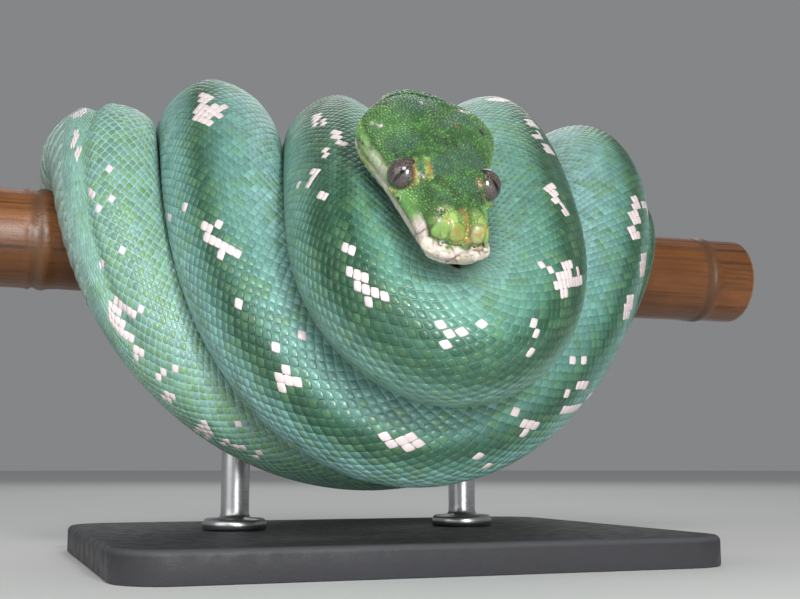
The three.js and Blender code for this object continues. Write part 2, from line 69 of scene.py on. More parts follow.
# Half turns from head to tail: side -1 hangs in front of the perch and +1 behind it.
TURNS = (
    dict(ends=("neck", "one_left"), side=1, reach=50.7, drop=14.1, power=2.2, bend=15.0, sway=3.7,
         late=2.5, lean=0.04, tilt=-0.07, thick=(9.6, 11.3, 14.3)),
    dict(ends=("one_left", "one_right"), side=-1, reach=104.0, drop=68.8, power=2.08, bend=22.6,
         sway=-25.8, late=1.04, lean=0.02, tilt=-0.03, thick=(14.3, 15.6, 15.3, 15.9, 16.8)),
    dict(ends=("one_right", "two_left"), side=1, reach=90.7, drop=42.4, power=1.2, wide=0.74,
         sway=29.7, skew=31.9, lean=-0.21, tilt=0.0, thick=(16.8, 17.5, 17.2)),
    dict(ends=("two_left", "two_right"), side=-1, reach=72.7, drop=83.4, power=2.03, wide=1.03,
         sway=-24.9, skew=-16.6, lean=-0.06, tilt=-0.1, thick=(17.2, 17.0, 16.5)),
    dict(ends=("two_right", "three_left"), side=1, reach=80.0, drop=83.5, power=1.64, wide=1.34,
         sway=43.7, skew=-3.1, lean=0.03, tilt=0.0, thick=(16.5, 15.8, 15.2)),
    dict(ends=("three_left", "tail"), side=-1, reach=40.7, drop=81.5, power=2.6, wide=0.99,
         sway=-15.8, skew=-40.9, lean=0.08, tilt=0.04, thick=(15.2, 14.6, 12.5, 9.0, 6.3)),
)
TURN_POINTS = 60
TAIL_TURN = math.radians(200)
TAIL_RUN = 33.5
TAIL_TIP = 1.9
TAIL_TAPER = 1.2
TAIL_POINTS = 50
TAIL_CLEAR = 1.1
FLAT_CROSSING = 0.15      # flattening of the third left crossing
FLAT_LENGTH = 46.0
FLAT_WIDEN = 0.6
RIDGE_SINK, RIDGE_LEAN, RIDGE_CENTRE = 15.6, 0.56, 10.4
RIDGE_HEIGHT, RIDGE_WIDTH = 0.045, 0.34
FLANK_SAG = 0.05
BELLY = 0.93

# ---- the head ----
SNOUT = np.array((-34.0, -124.2, -21.1))
HEAD_PITCH, HEAD_YAW, HEAD_ROLL = np.radians((45.5, -8.0, 5.7))
HEAD_LENGTH = 49.4
HEAD_SIZE = 1.02
# Stations behind the snout: half width, top above and jaw below the mouth line, furrow.
HEAD_STATIONS = np.array((
    (0.0, 5.4, 3.4, 2.1, 0.0), (1.4, 6.9, 6.0, 3.2, 0.3), (4.0, 7.0, 7.9, 4.2, 1.0),
    (7.5, 7.8, 8.4, 4.8, 1.4), (11.0, 8.6, 7.9, 5.1, 0.7), (15.0, 9.5, 8.6, 5.3, 0.2),
    (19.0, 10.5, 9.7, 5.5, 0.1), (23.0, 11.3, 10.3, 5.8, 0.3), (28.0, 12.8, 10.9, 6.2, 0.8),
    (33.0, 14.5, 11.5, 6.7, 1.0), (38.0, 15.7, 11.7, 7.2, 1.2), (43.0, 15.5, 11.2, 7.6, 1.0),
    (47.0, 13.4, 10.1, 8.0, 0.6), (HEAD_LENGTH, 11.2, 8.6, 8.7, 0.3),
))
HEAD_SQUARE, JAW_SQUARE, JAW_INSET = 2.35, 2.1, 0.5
FURROW_SPREAD = 0.2
NECK_CENTRE, NECK_RADIUS, NECK_ROOT = -1.8, 8.3, 10.0
NAPE_BEND, NAPE_POINTS = 9.5, 6          # the neck bends down and to the left behind the skull
NAPE_TURN, NAPE_SWAY = math.radians(58), math.radians(30)
NECK_LEAVE, NECK_ARRIVE, NECK_RISE, NECK_POINTS = 0.6, 1.07, 0.47, 52
NECK_HELD = 24            # points of the line that aren't smoothed
NECK_BLEND = 9.0          # length over which the skull's section turns into the neck's
TWIST_BLEND = 34.0        # length over which the ridge turns from the head's to the body's
MOUTH_END = 41.0          # the corner of the mouth, behind the snout
# How far forward and up the eyes' openings and the pupils face, and the lean of their slits.
OPENING_AIM, PUPIL_AIM = (0.86, 0.48, 0.12), (1.4, 0.7, 0.5)
EYE_OPENING, LID_HEIGHT = 3.35, 0.26
NOSTRIL = (4.5, 5.5, 7.1)
SNOUT_SKEW, SKEW_FADES = -1.4, 16.0      # the snout's middle lies this far to the left
MOUTH_DROP, DROP_FADES = 1.3, 9.0        # the mouth line sinks this far at the snout
EYE_BACK, EYE_OUT, EYE_UP, EYE_RADIUS = 19.9, 8.5, 5.1, 3.8
EYE_ROWS, EYE_COLUMNS = 40, 64
PUPIL_HALF_HEIGHT, PUPIL_HALF_WIDTH = 2.5, 0.42

# ---- the skin and its scales ----
SIDES = 112               # points round the skin, a multiple of four
RING_STEP = 2.4           # spacing of the skin's rings along the body
CAP_SHARES = (0.04, 0.3, 0.52, 0.7, 0.84, 0.94)     # rings that round off the snout, against its front
CAP_HEIGHT, CAP_DEPTH = 0.7, 0.75        # the cap's middle over the mouth line, and how far it bulges
HEAD_STEP = 0.42
COILS_CLEAR = 0.9         # between the skins of two coils that lean on each other
PERCH_CLEAR = 0.7
PRESS_AWAY, PRESS_REACH, LEAST_GRIP = 45.0, 1.2, 0.35
PRESS_SOFTEN = 3
BELLY_ANGLE = 2.42        # the belly plates begin this far round from the ridge, radians
# The third left limb lies twisted, with a fold along its flank. Rows of scales at these angles
# from the ridge move on by those angles, as far as the fold's share at that length.
FOLD_ROWS = np.radians((-180, -139, -60, 0, 30, 139, 180))
FOLD_MOVES = np.radians((-80, -48, -35, -35, -35, -115, -80))
FOLD_FROM, FOLD_RISE, FOLD_UNTIL, FOLD_FALL = -60.0, 60.0, 50.0, 45.0
FOLD_DEPTH, FOLD_ANGLE, FOLD_WIDTH = 2.3, -0.07, 0.17
SCALE_ASPECT = 1.06       # length of a scale against its width
MOST_STRETCH = 1.25       # skin stretched further than this shows between the scales
# Rows of scales from belly to belly: neck, front loops, rear loops, hind part and tail.
ROW_COUNTS = (50, 62, 58, 44, 30)
NECK_UNTIL, REAR_UNTIL, HIND_UNTIL = 12.4, 12.0, 5.4      # radius of the body where those rows end
FRONT_ENDS = 1190.0       # the front loops' rows end here, along the body's line
COAT_START = 12.0         # where the head's scales give way to the body's, along the body's line
COAT_PIECE = 6400         # most scales in one piece of the coat
UNWRAP_STRIPS = 4         # the skin's length is unwrapped in this many strips
PATCH_SIZE = 0.003        # each scale's patch on that unwrap
SEED = 7

# ---- the camera ----
CAMERA = np.array((-124.29, -337.81, -61.63))
CAMERA_PITCH, CAMERA_TURN = np.radians((7.9, 69.8))
CAMERA_LENS, SENSOR = 53.5, 36.0
VIEW_SIZE = (800, 599)


def unit(v):
    return v / np.maximum(np.linalg.norm(v, axis=-1, keepdims=True), 1e-12)


def ease(t):
    t = np.clip(t, 0, 1)
    return t * t * (3 - 2 * t)


def bump(x, middle, spread):
    return np.exp(-((x - middle) / spread) ** 2)


def mix(a, b, share):
    return a + (b - a) * share


def once_round(count):
    """Angles of `count` points spread evenly round a circle."""
    return np.arange(count) * 2 * math.pi / count


def from_ridge(angle):
    """An angle round the body as it lies from the ridge, from -pi to pi."""
    return np.arctan2(np.sin(angle), np.cos(angle))


def square_to(v, along):
    return unit(v - along * (v * along).sum(1, keepdims=True))


def cubic(start, leave, end, arrive, t):
    """The smooth curve from start to end that leaves and arrives with the given slopes."""
    return (start * (2 * t**3 - 3 * t**2 + 1) + leave * (t**3 - 2 * t**2 + t)
            + end * (3 * t**2 - 2 * t**3) + arrive * (t**3 - t**2))


def run_along(*columns):
    """Length along a line up to each of its points."""
    return np.r_[0, np.cumsum(np.hypot(*(np.diff(column) for column in columns)))]


# ---- body line ----
def head_frame():
    f = np.array((math.sin(HEAD_YAW) * math.cos(HEAD_PITCH),
                  -math.cos(HEAD_YAW) * math.cos(HEAD_PITCH), -math.sin(HEAD_PITCH)))
    level = unit(np.cross(f, (0, 0, 1)))
    over = np.cross(level, f)
    right = level * math.cos(HEAD_ROLL) + over * math.sin(HEAD_ROLL)
    return f, right, over * math.cos(HEAD_ROLL) - level * math.sin(HEAD_ROLL)


FORWARD, RIGHT, UP = head_frame()


def on_head(back, right, up):
    """Places on the head: behind the snout, to the snake's right, above the mouth line."""
    back, right, up = (np.asarray(v, float)[..., None] * HEAD_SIZE for v in (back, right, up))
    return SNOUT - FORWARD * back + RIGHT * right + UP * up


def head_coordinates(places):
    d = (places - SNOUT) / HEAD_SIZE
    return -d @ FORWARD, d @ RIGHT, d @ UP


def neck_course():
    root = on_head(HEAD_LENGTH - NECK_ROOT, 0, NECK_CENTRE)
    turn = np.linspace(0, NAPE_TURN, NAPE_POINTS + 1)[:, None]
    down = -UP * math.cos(NAPE_SWAY) - RIGHT * math.sin(NAPE_SWAY)
    nape = (on_head(HEAD_LENGTH, 0, NECK_CENTRE)
            + NAPE_BEND * (down * (1 - np.cos(turn)) - FORWARD * np.sin(turn)))
    a = nape[-1]
    b = np.array((CROSS["neck"][0], 0, CROSS["neck"][1]))
    span = np.linalg.norm(b - a)
    leave = (down * math.sin(NAPE_TURN) - FORWARD * math.cos(NAPE_TURN)) * span * NECK_LEAVE
    arrive = np.array((0, 1, NECK_RISE)) * span * NECK_ARRIVE
    u = (np.arange(NECK_POINTS) / NECK_POINTS)[:, None]
    p = cubic(a, leave, b, arrive, u)
    skull = np.column_stack((np.vstack((root, nape[:-1])), np.full((NAPE_POINTS + 1, 2), (NECK_RADIUS, 1))))
    return np.vstack((skull, np.hstack((p, mix(NECK_RADIUS, TURNS[0]["thick"][0], u), 1 - u))))


def turn_course(turn):
    (ax, az), (bx, bz) = (CROSS[name] for name in turn["ends"])
    u = np.arange(TURN_POINTS) / TURN_POINTS
    half = (bx - ax) / 2
    reach, bend = turn["reach"], turn.get("bend")
    if bend:
        straight = reach - bend
        total = 2 * straight + math.pi * bend
        run = total * u
        angle = np.clip((run - straight) / bend, 0, math.pi)
        away = np.minimum(np.minimum(run, total - run), straight) + bend * np.sin(angle)
        share, out = -np.cos(angle), away / reach
        x = ((ax + bx) / 2 + turn["sway"] * out ** turn["late"]
             + share * (half + (math.copysign(bend, half) - half) * ease(out)))
    else:
        share, out = -np.cos(math.pi * u), np.sin(math.pi * u)
        x = ((ax + bx) / 2 + turn["sway"] * out**2
             + share * half * (1 + (turn["wide"] - 1) * out) - turn["skew"] * out**2 * share)
    y = turn["side"] * reach * out * (1 - turn["lean"] * share)
    z = az + (bz - az) * (1 + share) / 2 - turn["drop"] * out ** turn["power"] * (1 - turn["tilt"] * share)
    thick = np.interp(u, np.linspace(0, 1, len(turn["thick"])), turn["thick"])
    return np.column_stack((x, y, z, thick, out))


def tail_course():
    t = np.linspace(0, 1, TAIL_POINTS + 1)
    first = TURNS[-1]["thick"][-1]
    radius = first + (TAIL_TIP - first) * t**TAIL_TAPER
    out = PERCH_RADIUS + TAIL_CLEAR + radius
    turned = TAIL_TURN * t
    x = CROSS["tail"][0] - TAIL_RUN * t
    return np.column_stack((x, out * np.sin(turned), out * np.cos(turned), radius, np.zeros_like(t)))


def spaced(points, step):
    along = np.r_[0, np.cumsum(np.linalg.norm(np.diff(points[:, :3], axis=0), axis=1))]
    s = np.linspace(0, along[-1], round(along[-1] / step) + 1)
    return np.column_stack([np.interp(s, along, column) for column in points.T])


class BodyLine:
    """The middle of the body from inside the skull to the tail's tip."""

    def __init__(self):
        line = spaced(np.vstack((neck_course(), *map(turn_course, TURNS), tail_course())), FINE)
        for _ in range(SMOOTH_ROUNDS):
            around = line[NECK_HELD - 1:-2] + line[NECK_HELD + 1:]
            line[NECK_HELD:-1] = 0.5 * line[NECK_HELD:-1] + 0.25 * around
        self.points = spaced(line, FINE)
        self.step = np.linalg.norm(np.diff(self.points[:, :3], axis=0), axis=1).mean()
        self.length = self.step * (len(self.points) - 1)
        self.s = np.arange(len(self.points)) * self.step
        self.flat_at = self.crossing("three_left")

    def crossing(self, name):
        x, z = CROSS[name]
        return self.s[np.linalg.norm(self.points[:, :3] - (x, 0, z), axis=1).argmin()]

    def at(self, s):
        return np.column_stack([np.interp(s, self.s, column) for column in self.points.T])

    def radius(self, s):
        return np.interp(s, self.s, self.points[:, 3])

    def frames(self, s):
        p = self.at(s)
        along = unit(self.at(s + FINE)[:, :3] - self.at(s - FINE)[:, :3])
        hang = p[:, 4]
        ridge = np.column_stack(((p[:, 0] - RIDGE_CENTRE) * RIDGE_LEAN * hang, p[:, 1],
                                 p[:, 2] + RIDGE_SINK * hang))
        turn = (1 - ease((s - NECK_ROOT) / TWIST_BLEND))[:, None]
        ridge = square_to(mix(square_to(ridge, along), UP, turn), along)
        return p[:, :3], along, ridge, np.cross(along, ridge)


# ---- skin ----
def body_section(angle, radius, flat):
    c = np.cos(angle)
    wide = radius * (1 + FLAT_WIDEN * flat) * np.sin(angle) * (1 - FLANK_SAG * c)
    crest = RIDGE_HEIGHT * np.exp(-((from_ridge(angle) / RIDGE_WIDTH) ** 2))
    high = radius * (1 - flat) * np.where(c > 0, c + crest, c * BELLY)
    return wide, high


def smooth_through(x, xs, ys):
    """Cubic curve through the stations xs, ys, evaluated at x."""
    slope = np.gradient(ys, xs)
    k = np.clip(np.searchsorted(xs, x) - 1, 0, len(xs) - 2)
    h = xs[k + 1] - xs[k]
    t = (x - xs[k]) / h
    return cubic(ys[k], slope[k] * h, ys[k + 1], slope[k + 1] * h, t)


def head_section(back):
    """Left and up of each of the skin's points round the head, counted from the top over the left."""
    half, top, low, furrow = (smooth_through(back, HEAD_STATIONS[:, 0], column)
                              for column in HEAD_STATIONS[:, 1:].T)
    quarter = SIDES // 4
    fine = np.linspace(0, math.pi / 2, 240)
    wide, high = np.empty(SIDES), np.empty(SIDES)
    upper = (half * np.cos(fine) ** (2 / HEAD_SQUARE), top * np.sin(fine) ** (2 / HEAD_SQUARE))
    dent = furrow * bump(upper[0], 0, FURROW_SPREAD * half) * np.sin(fine)
    upper = (upper[0], upper[1] - dent)
    lower = ((half - JAW_INSET) * np.cos(fine) ** (2 / JAW_SQUARE), -low * np.sin(fine) ** (2 / JAW_SQUARE))
    for across, rise, last in ((*upper, 0), (*lower, 2 * quarter)):
        run = run_along(across, rise)
        marks = np.linspace(0, run[-1], quarter + 1)
        x, y = np.interp(marks, run, across), np.interp(marks, run, rise)
        columns = np.linspace(quarter, last, quarter + 1).astype(int)
        for mirror in (1, -1):
            at = (columns * mirror) % SIDES
            wide[at], high[at] = x * mirror, y
    return wide, high


def hold_back(points, centre, towards, limit, along):
    """Moves points in their section's plane until they are at most `limit` out along `towards`."""
    excess = (points - centre) @ towards - limit
    slide = towards - along * (towards @ along)
    grip = slide @ slide
    if grip > LEAST_GRIP**2:
        points -= np.maximum(excess, 0)[:, None] * slide / grip


def press(rings, centres, along, s, line):
    """Flattens the coils where they lean on each other and on the perch."""
    others, other_s = line.points[::2], line.s[::2]
    radius = line.radius(s)
    least = PERCH_RADIUS + PERCH_CLEAR
    for i, points in enumerate(rings):
        d = others[:, :3] - centres[i]
        far = np.linalg.norm(d, axis=1)
        near = ((np.abs(other_s - s[i]) > PRESS_AWAY)
                & (far < (radius[i] + others[:, 3]) * PRESS_REACH + COILS_CLEAR))
        for k in np.flatnonzero(near):
            limit = far[k] * radius[i] / (radius[i] + others[k, 3]) - COILS_CLEAR / 2
            hold_back(points, centres[i], d[k] / far[k], limit, along[i])
        for _ in range(3):
            from_axis = np.hypot(points[:, 1], points[:, 2])
            inside = from_axis < least
            if not inside.any():
                break
            away = np.zeros_like(points)
            away[:, 1:] = points[:, 1:] / np.maximum(from_axis, 1e-6)[:, None]
            slide = away - along[i] * (away @ along[i])[:, None]
            grip = (slide * slide).sum(1)
            push = np.where(inside & (grip > LEAST_GRIP**2), least - from_axis, 0) / np.maximum(grip, 1e-6)
            points += slide * push[:, None]
    return rings


def fold_share(s, line):
    """How far the third left limb is turned and folded at s, from 0 to 1."""
    past = s - line.flat_at
    return ease((past - FOLD_FROM) / FOLD_RISE) * (1 - ease((past - FOLD_UNTIL) / FOLD_FALL))


def turned_angle(angle, s, line):
    """Where a row of scales lies round the body: straight up its side, but gathered in the fold."""
    angle = from_ridge(angle)
    return angle + fold_share(s, line) * np.interp(angle, FOLD_ROWS, FOLD_MOVES)


class Skin:
    """The animal's whole skin as a grid: rings from the snout to the tail's tip."""

    def __init__(self, depth):
        self.line = BodyLine()
        start = NECK_ROOT * HEAD_SIZE
        head, backs = self.head_grid()
        body, s = self.body_grid(start, depth)
        self.head_rings = len(head)
        self.places = np.concatenate((head, body))
        self.s = np.r_[start - (HEAD_LENGTH * HEAD_SIZE - backs * HEAD_SIZE), s]
        self.rings = len(self.places)
        self.find_normals()
        self.shape_head(depth)
        self.find_normals()

    def head_grid(self):
        """Rings of the plain head, the first ones rounding off the snout, and how far back each lies."""
        cap = np.array(CAP_SHARES)
        backs = np.r_[np.arange(0, HEAD_LENGTH, HEAD_STEP), HEAD_LENGTH]
        rings = []
        front = np.array(head_section(0.0))
        for share in cap:
            wide, high = front * share + np.array((0, CAP_HEIGHT * (1 - share)))[:, None]
            rings.append(on_head(np.full(SIDES, -CAP_DEPTH * math.sqrt(1 - share**2)), -wide, high))
        for back in backs:
            wide, high = head_section(back)
            rings.append(on_head(np.full(SIDES, back), -wide, high))
        return np.array(rings), np.r_[-CAP_HEIGHT * (1 - cap), backs]

    def body_grid(self, start, depth):
        """Rings of neck, trunk and tail, from the skull's section on, and the length at each."""
        line = self.line
        s = np.arange(start + RING_STEP / 2, line.length, RING_STEP)
        s = np.r_[s, line.length - RING_STEP / 4, line.length]
        centres, along, ridge, side = line.frames(s)
        angle = once_round(SIDES)
        radius = (line.radius(s) - depth)[:, None]
        flat = (FLAT_CROSSING * bump(s, line.flat_at, FLAT_LENGTH))[:, None]
        wide, high = body_section(angle[None], radius, flat)
        skull = np.array(head_section(HEAD_LENGTH)) * (HEAD_SIZE - depth / NECK_RADIUS)
        share = (1 - ease((s - start) / NECK_BLEND))[:, None]
        gap = on_head(HEAD_LENGTH, 0, NECK_CENTRE) - line.at(np.array([start]))[:, :3]
        centres = centres + share * gap
        wide = mix(wide, skull[0], share)
        high = mix(high, skull[1] - NECK_CENTRE * HEAD_SIZE, share)
        tip = np.maximum(np.sqrt(np.clip((line.length - s) / TAIL_TIP, 0, 1)), 0.05)[:, None]
        wide, high = wide * tip, high * tip
        body = centres[:, None] + side[:, None] * wide[..., None] + ridge[:, None] * high[..., None]
        plain = body.copy()
        pressed = press(body, centres, along, s, line) - plain
        for _ in range(PRESS_SOFTEN):
            pressed[1:-1] = 0.5 * pressed[1:-1] + 0.25 * (pressed[:-2] + pressed[2:])
        return self.crease(plain + pressed, centres, s, angle), s

    def crease(self, body, centres, s, angle):
        """The groove where the third left limb folds over its own flank."""
        share = fold_share(s, self.line)[:, None]
        groove = FOLD_DEPTH * bump(from_ridge(angle)[None], FOLD_ANGLE, FOLD_WIDTH) * share
        inward = unit(centres[:, None] - body)
        return body + inward * groove[..., None]

    def shape_head(self, depth):
        n = self.head_rings
        back, right, up = head_coordinates(self.places[:n])
        lift = head_relief(back, right, up) - depth
        self.places[:n] += self.normals[:n] * lift[..., None]
        # the lids: the skin comes up over each eyeball and stops at the opening
        edge = math.sqrt(EYE_RADIUS**2 - EYE_OPENING**2)
        for side in (1, -1):
            off, out = seen_round_eye(self.places[:n], side)
            ball = np.sqrt(np.maximum(EYE_RADIUS**2 - off**2, 0))
            under = ball - 0.9 * (1 - ease((off - EYE_OPENING + 0.7) / 0.6))
            lid = edge + 0.1 + LID_HEIGHT * bump(off, EYE_OPENING + 0.5, 0.4)
            target = np.where(off < EYE_OPENING, under, lid)
            share = (1 - ease((off - EYE_OPENING - 0.5) / 2.2)) * ease((out + 1.2) / 2.2)
            self.places[:n] += eye_axes(side)[0] * ((target - out) * share)[..., None]

    def find_normals(self):
        p = self.places
        along = np.gradient(p, axis=0)
        across = np.roll(p, -1, axis=1) - np.roll(p, 1, axis=1)
        self.normals = unit(np.cross(across, along))
        centre = p.mean(axis=1, keepdims=True)
        if ((p - centre) * self.normals).sum() < 0:
            self.normals = -self.normals

    def lay(self, grid, u, v):
        """Values of a grid at ring u and column v, between its points."""
        i = np.clip(np.floor(u).astype(int), 0, self.rings - 2)
        f = np.clip(u - i, 0, 1)[..., None]
        j = np.floor(v).astype(int)
        g = (v - j)[..., None]
        j, k = j % SIDES, (j + 1) % SIDES
        return ((grid[i, j] * (1 - g) + grid[i, k] * g) * (1 - f)
                + (grid[i + 1, j] * (1 - g) + grid[i + 1, k] * g) * f)

    def spots(self, u, v):
        """Places on the skin and the directions out of it, at ring u and column v."""
        return self.lay(self.places, u, v), unit(self.lay(self.normals, u, v))

    def ring_at(self, s):
        return np.interp(s, self.s, np.arange(self.rings))

    def column_at(self, angle, s):
        return turned_angle(angle, s, self.line) / (2 * math.pi) * SIDES

    def unwrap(self, s, turn):
        """Where a place lies on the skin's unwrap: s along the body, turn from 0 to 1 round it."""
        total = self.s[-1] - self.s[0] + 1e-6
        t = (s - self.s[0]) / total * UNWRAP_STRIPS
        strip = np.clip(np.floor(t), 0, UNWRAP_STRIPS - 1)
        return np.stack((0.004 + 0.992 * (t - strip), (strip + 0.02 + 0.96 * turn) / UNWRAP_STRIPS), -1)


def snout_middle(back):
    return SNOUT_SKEW * (1 - ease(back / SKEW_FADES))


def mouth_height(back):
    return -MOUTH_DROP * (1 - ease(back / DROP_FADES))


def on_snout(back, right, up):
    """Places on the head, counted to the right from the snout's own middle line."""
    return on_head(back, right + snout_middle(back), up)


def head_relief(back, right, up):
    """How far the skin of the head stands out from its plain form, in millimetres."""
    side = np.abs(right - snout_middle(back))
    rise = up - mouth_height(back)
    snout = 1 - ease((back - 5.5) / 4)
    lift = np.zeros_like(back)
    # round lobes on the snout, the groove between them, and the lip that flares below them
    lift += 0.9 * bump(back, 3.0, 3.2) * bump(side, 3.6, 2.3) * bump(up, 6.0, 2.6)
    lift -= 1.0 * bump(side, 0, 0.6) * ease((up - 3.0) / 1.5) * snout
    lift += 0.5 * bump(side, 0, 0.7) * bump(up, 1.8, 1.6) * snout
    lift -= 0.75 * bump(rise, 4.1, 0.55) * snout * ease((side - 0.6) / 0.8)
    lift += 0.55 * bump(rise, 2.0, 1.4) * (1 - ease((back - 8) / 24))
    # slanting creases in the front of the lip
    crease = np.cos((side - 0.55 * rise) * 2.4)
    lift -= 0.22 * ease((crease - 0.55) / 0.4) * bump(rise, 1.9, 1.5) * (1 - ease((back - 3) / 4))
    # nostrils, the hollow before the eye and the brow above it
    nostril = np.sqrt((back - NOSTRIL[0]) ** 2 + (side - NOSTRIL[1]) ** 2 + (up - NOSTRIL[2]) ** 2)
    lift -= 1.2 * bump(nostril, 0, 0.75)
    lift += 0.35 * bump(nostril, 1.3, 0.5)
    lift -= 0.8 * bump(back, 9.6, 2.2) * bump(side, 2.6, 2.6) * ease((up - 5) / 2)
    lift -= 1.0 * bump(back, 11.4, 2.4) * bump(up, 5.2, 2.4) * ease((side - 5) / 3)
    hollow = np.sqrt((back - 13.6) ** 2 + (right + 5.8) ** 2 + (up - 6.1) ** 2)
    lift -= 1.3 * bump(hollow, 0, 1.1)
    lift += 0.45 * bump(back, 18.0, 4.5) * bump(side, 6.6, 1.8) * ease((up - 6) / 2)
    lift += 0.3 * bump(back, 13.5, 3.0) * bump(side, 3.0, 2.0) * ease((up - 5) / 2)
    # the jaw's muscles with the furrow between them, and the fold behind the eye
    nape = right + 3.2 * ease((back - 26) / 16)
    lift += 0.9 * bump(back, 39, 7) * bump(nape, 8.5, 5.0) * ease(up / 5)
    lift += 0.6 * bump(back, 40, 7) * bump(nape, -8.0, 4.5) * ease(up / 5)
    lift -= 1.5 * bump(back, 43, 9) * bump(nape, 0, 2.2) * ease((up - 4) / 4)
    fold = up - (3.4 + 0.07 * (back - 24))
    behind_eye = ease((back - 23) / 3) * (1 - ease((back - 42) / 5)) * ease((side - 6) / 2)
    lift -= (0.8 * bump(fold, 0, 0.7) - 0.35 * bump(fold, 1.6, 1.1)) * behind_eye
    for middle, slope in ((30.0, 0.5), (34.5, 0.7)):
        lift -= 0.3 * bump(back - slope * (up - 5), middle, 0.6) * bump(up, 5.5, 2.4) * ease((side - 8) / 3)
    # the mouth's slit and the groove under the chin
    lift -= 0.9 * np.exp(-np.abs(rise) / 0.4) * (1 - ease((back - MOUTH_END + 2) / 3))
    lift -= 0.4 * bump(side, 0, 0.9) * (rise < -1) * (1 - ease((back - 18) / 8))
    return lift * (1 - ease((back - 45) / 4.4))


def eye_axes(side, aim=OPENING_AIM):
    """Out through an eye's opening, the way across it and the way up; side is 1 for the right."""
    forward, raised, lean = aim
    gaze = unit(RIGHT * side + FORWARD * forward + UP * raised)
    over = UP + FORWARD * lean
    over = unit(over - gaze * (over @ gaze))
    return gaze, np.cross(over, gaze), over


def seen_round_eye(places, side):
    """Distance of places from an eye's axis, and how far out they lie from its middle."""
    d = places - on_head(EYE_BACK, side * EYE_OUT, EYE_UP)
    out = d @ eye_axes(side)[0]
    return np.sqrt(np.maximum((d * d).sum(-1) - out**2, 0)), out


# ---- markings ----
FIRST_LOOP_PAINTED_SHADE = np.array((0.2, 0.12, 0.22))     # share of each colour that the first loop loses, as painted shade where the light falls off
NET_FROM, NET_RISE, NET_UNTIL, NET_FALL = -20.0, 25.0, 120.0, 70.0      # round the third left crossing
HEAD_COLOURS_END, HEAD_COLOURS_FADE = 8.0, 24.0     # where they give way to the body's, along its line


def lots(places, seed):
    """A steady random share from 0 to 1 for each whole-numbered place."""
    c = places.astype(np.int64).astype(np.uint64)
    h = c[..., 0] * np.uint64(73856093) ^ c[..., 1] * np.uint64(19349663) ^ c[..., 2] * np.uint64(83492791)
    h = (h ^ np.uint64(seed * 2654435761)) & np.uint64(0xFFFFFFFF)
    for shift, factor in ((15, 2246822519), (13, 3266489917)):
        h = (h ^ (h >> np.uint64(shift))) * np.uint64(factor) & np.uint64(0xFFFFFFFF)
    return ((h ^ (h >> np.uint64(16))) & np.uint64(0xFFFFFF)) / float(0xFFFFFF)


def cloud(places, cell, seed):
    """Soft random shares whose patches are about `cell` millimetres across."""
    q = places / cell
    base = np.floor(q)
    f = ease(q - base)
    total = np.zeros(places.shape[:-1])
    for corner in np.ndindex(2, 2, 2):
        weight = 1.0
        for axis, step in enumerate(corner):
            weight = weight * (f[..., axis] if step else 1 - f[..., axis])
        total += weight * lots(base + corner, seed)
    return total


def blend(tint, other, share):
    share = np.clip(share, 0, 1)[..., None]
    return tint * (1 - share) + np.asarray(other) * share


def body_tint(paint, places, angle, s, line, lot):
    """Colours of the scales' middles, of the ground round them, and the share of pale rim there: real net
    on stretched skin, painted highlight along the scales' edges elsewhere.
    """
    turned = from_ridge(angle)
    a = np.abs(turned)
    broad, close = cloud(places, 13.0, 1), cloud(places, 3.2, 2)
    ground = blend(np.broadcast_to(paint["back"], places.shape), paint["flank"],
                   bump(a, 0.95, 0.5) * (0.45 + 0.8 * broad))
    # painted shade: darker green low on the sides, where they turn away from the light
    ground = blend(ground, paint["low_flank"], ease((a - 1.25) / 0.5))
    # the dark band along the ridge is widest on the first loop, towards its outer side
    first = ease((s - line.crossing("neck")) / 30) * (1 - ease((s - line.crossing("one_right")) / 30))
    spine = np.maximum(bump(turned, 0.1, 0.29), first * bump(turned, 0.45, 0.45))
    stretched = net_share(s, line)
    spine = spine * (0.82 + 0.45 * cloud(places, 20.0, 3)) * (1 - 0.6 * stretched)
    ground = blend(ground, paint["spine"], spine)
    ground = blend(ground, paint["net"], 0.3 * stretched * (1 - spine))
    ground = blend(ground, paint["belly"], ease((a - 2.05) / 0.4) * 0.85 * (1 - 0.9 * fold_share(s, line)))
    ground = ground * (0.82 + 0.36 * cloud(places, 2.2, 4))[..., None]
    # painted shade: the whole first loop is darkened
    ground = ground * (1 - np.multiply.outer(first, FIRST_LOOP_PAINTED_SHADE))
    leafy = ease((0.35 * lot + 1.1 * close + 0.4 * broad - 0.95) / 0.3)
    tint = blend(ground, paint["leaf"], leafy * (0.6 - 0.3 * ease((a - 1.2) / 0.8)) * (1 - 0.5 * spine))
    diamonds = stretched * bump(a, 0.3, 1.1) * (0.15 + 0.8 * lot) * (1 - 0.7 * spine)
    tint = blend(tint, paint["diamond"], diamonds)
    tint = tint * (0.84 + 0.32 * lots(np.round(places * 7), 9))[..., None]
    # pale rims: the net of stretched skin, and elsewhere a painted highlight where the scales' edges catch
    # the light, more towards the flanks
    net = (0.1 + 0.14 * ease((a - 0.6) / 0.8) + 0.38 * stretched) * (1 - 0.6 * np.clip(spine, 0, 1))
    return tint, ground, net


def net_share(s, line):
    """Share of stretched skin, whose pale net shows between the scales: the left front limb."""
    past = s - line.crossing("three_left")
    return ease((past - NET_FROM) / NET_RISE) * (1 - ease((past - NET_UNTIL) / NET_FALL))


def neck_share(s):
    """Share of the body's colours, from the back of the skull on."""
    return ease((s - HEAD_COLOURS_END) / HEAD_COLOURS_FADE)


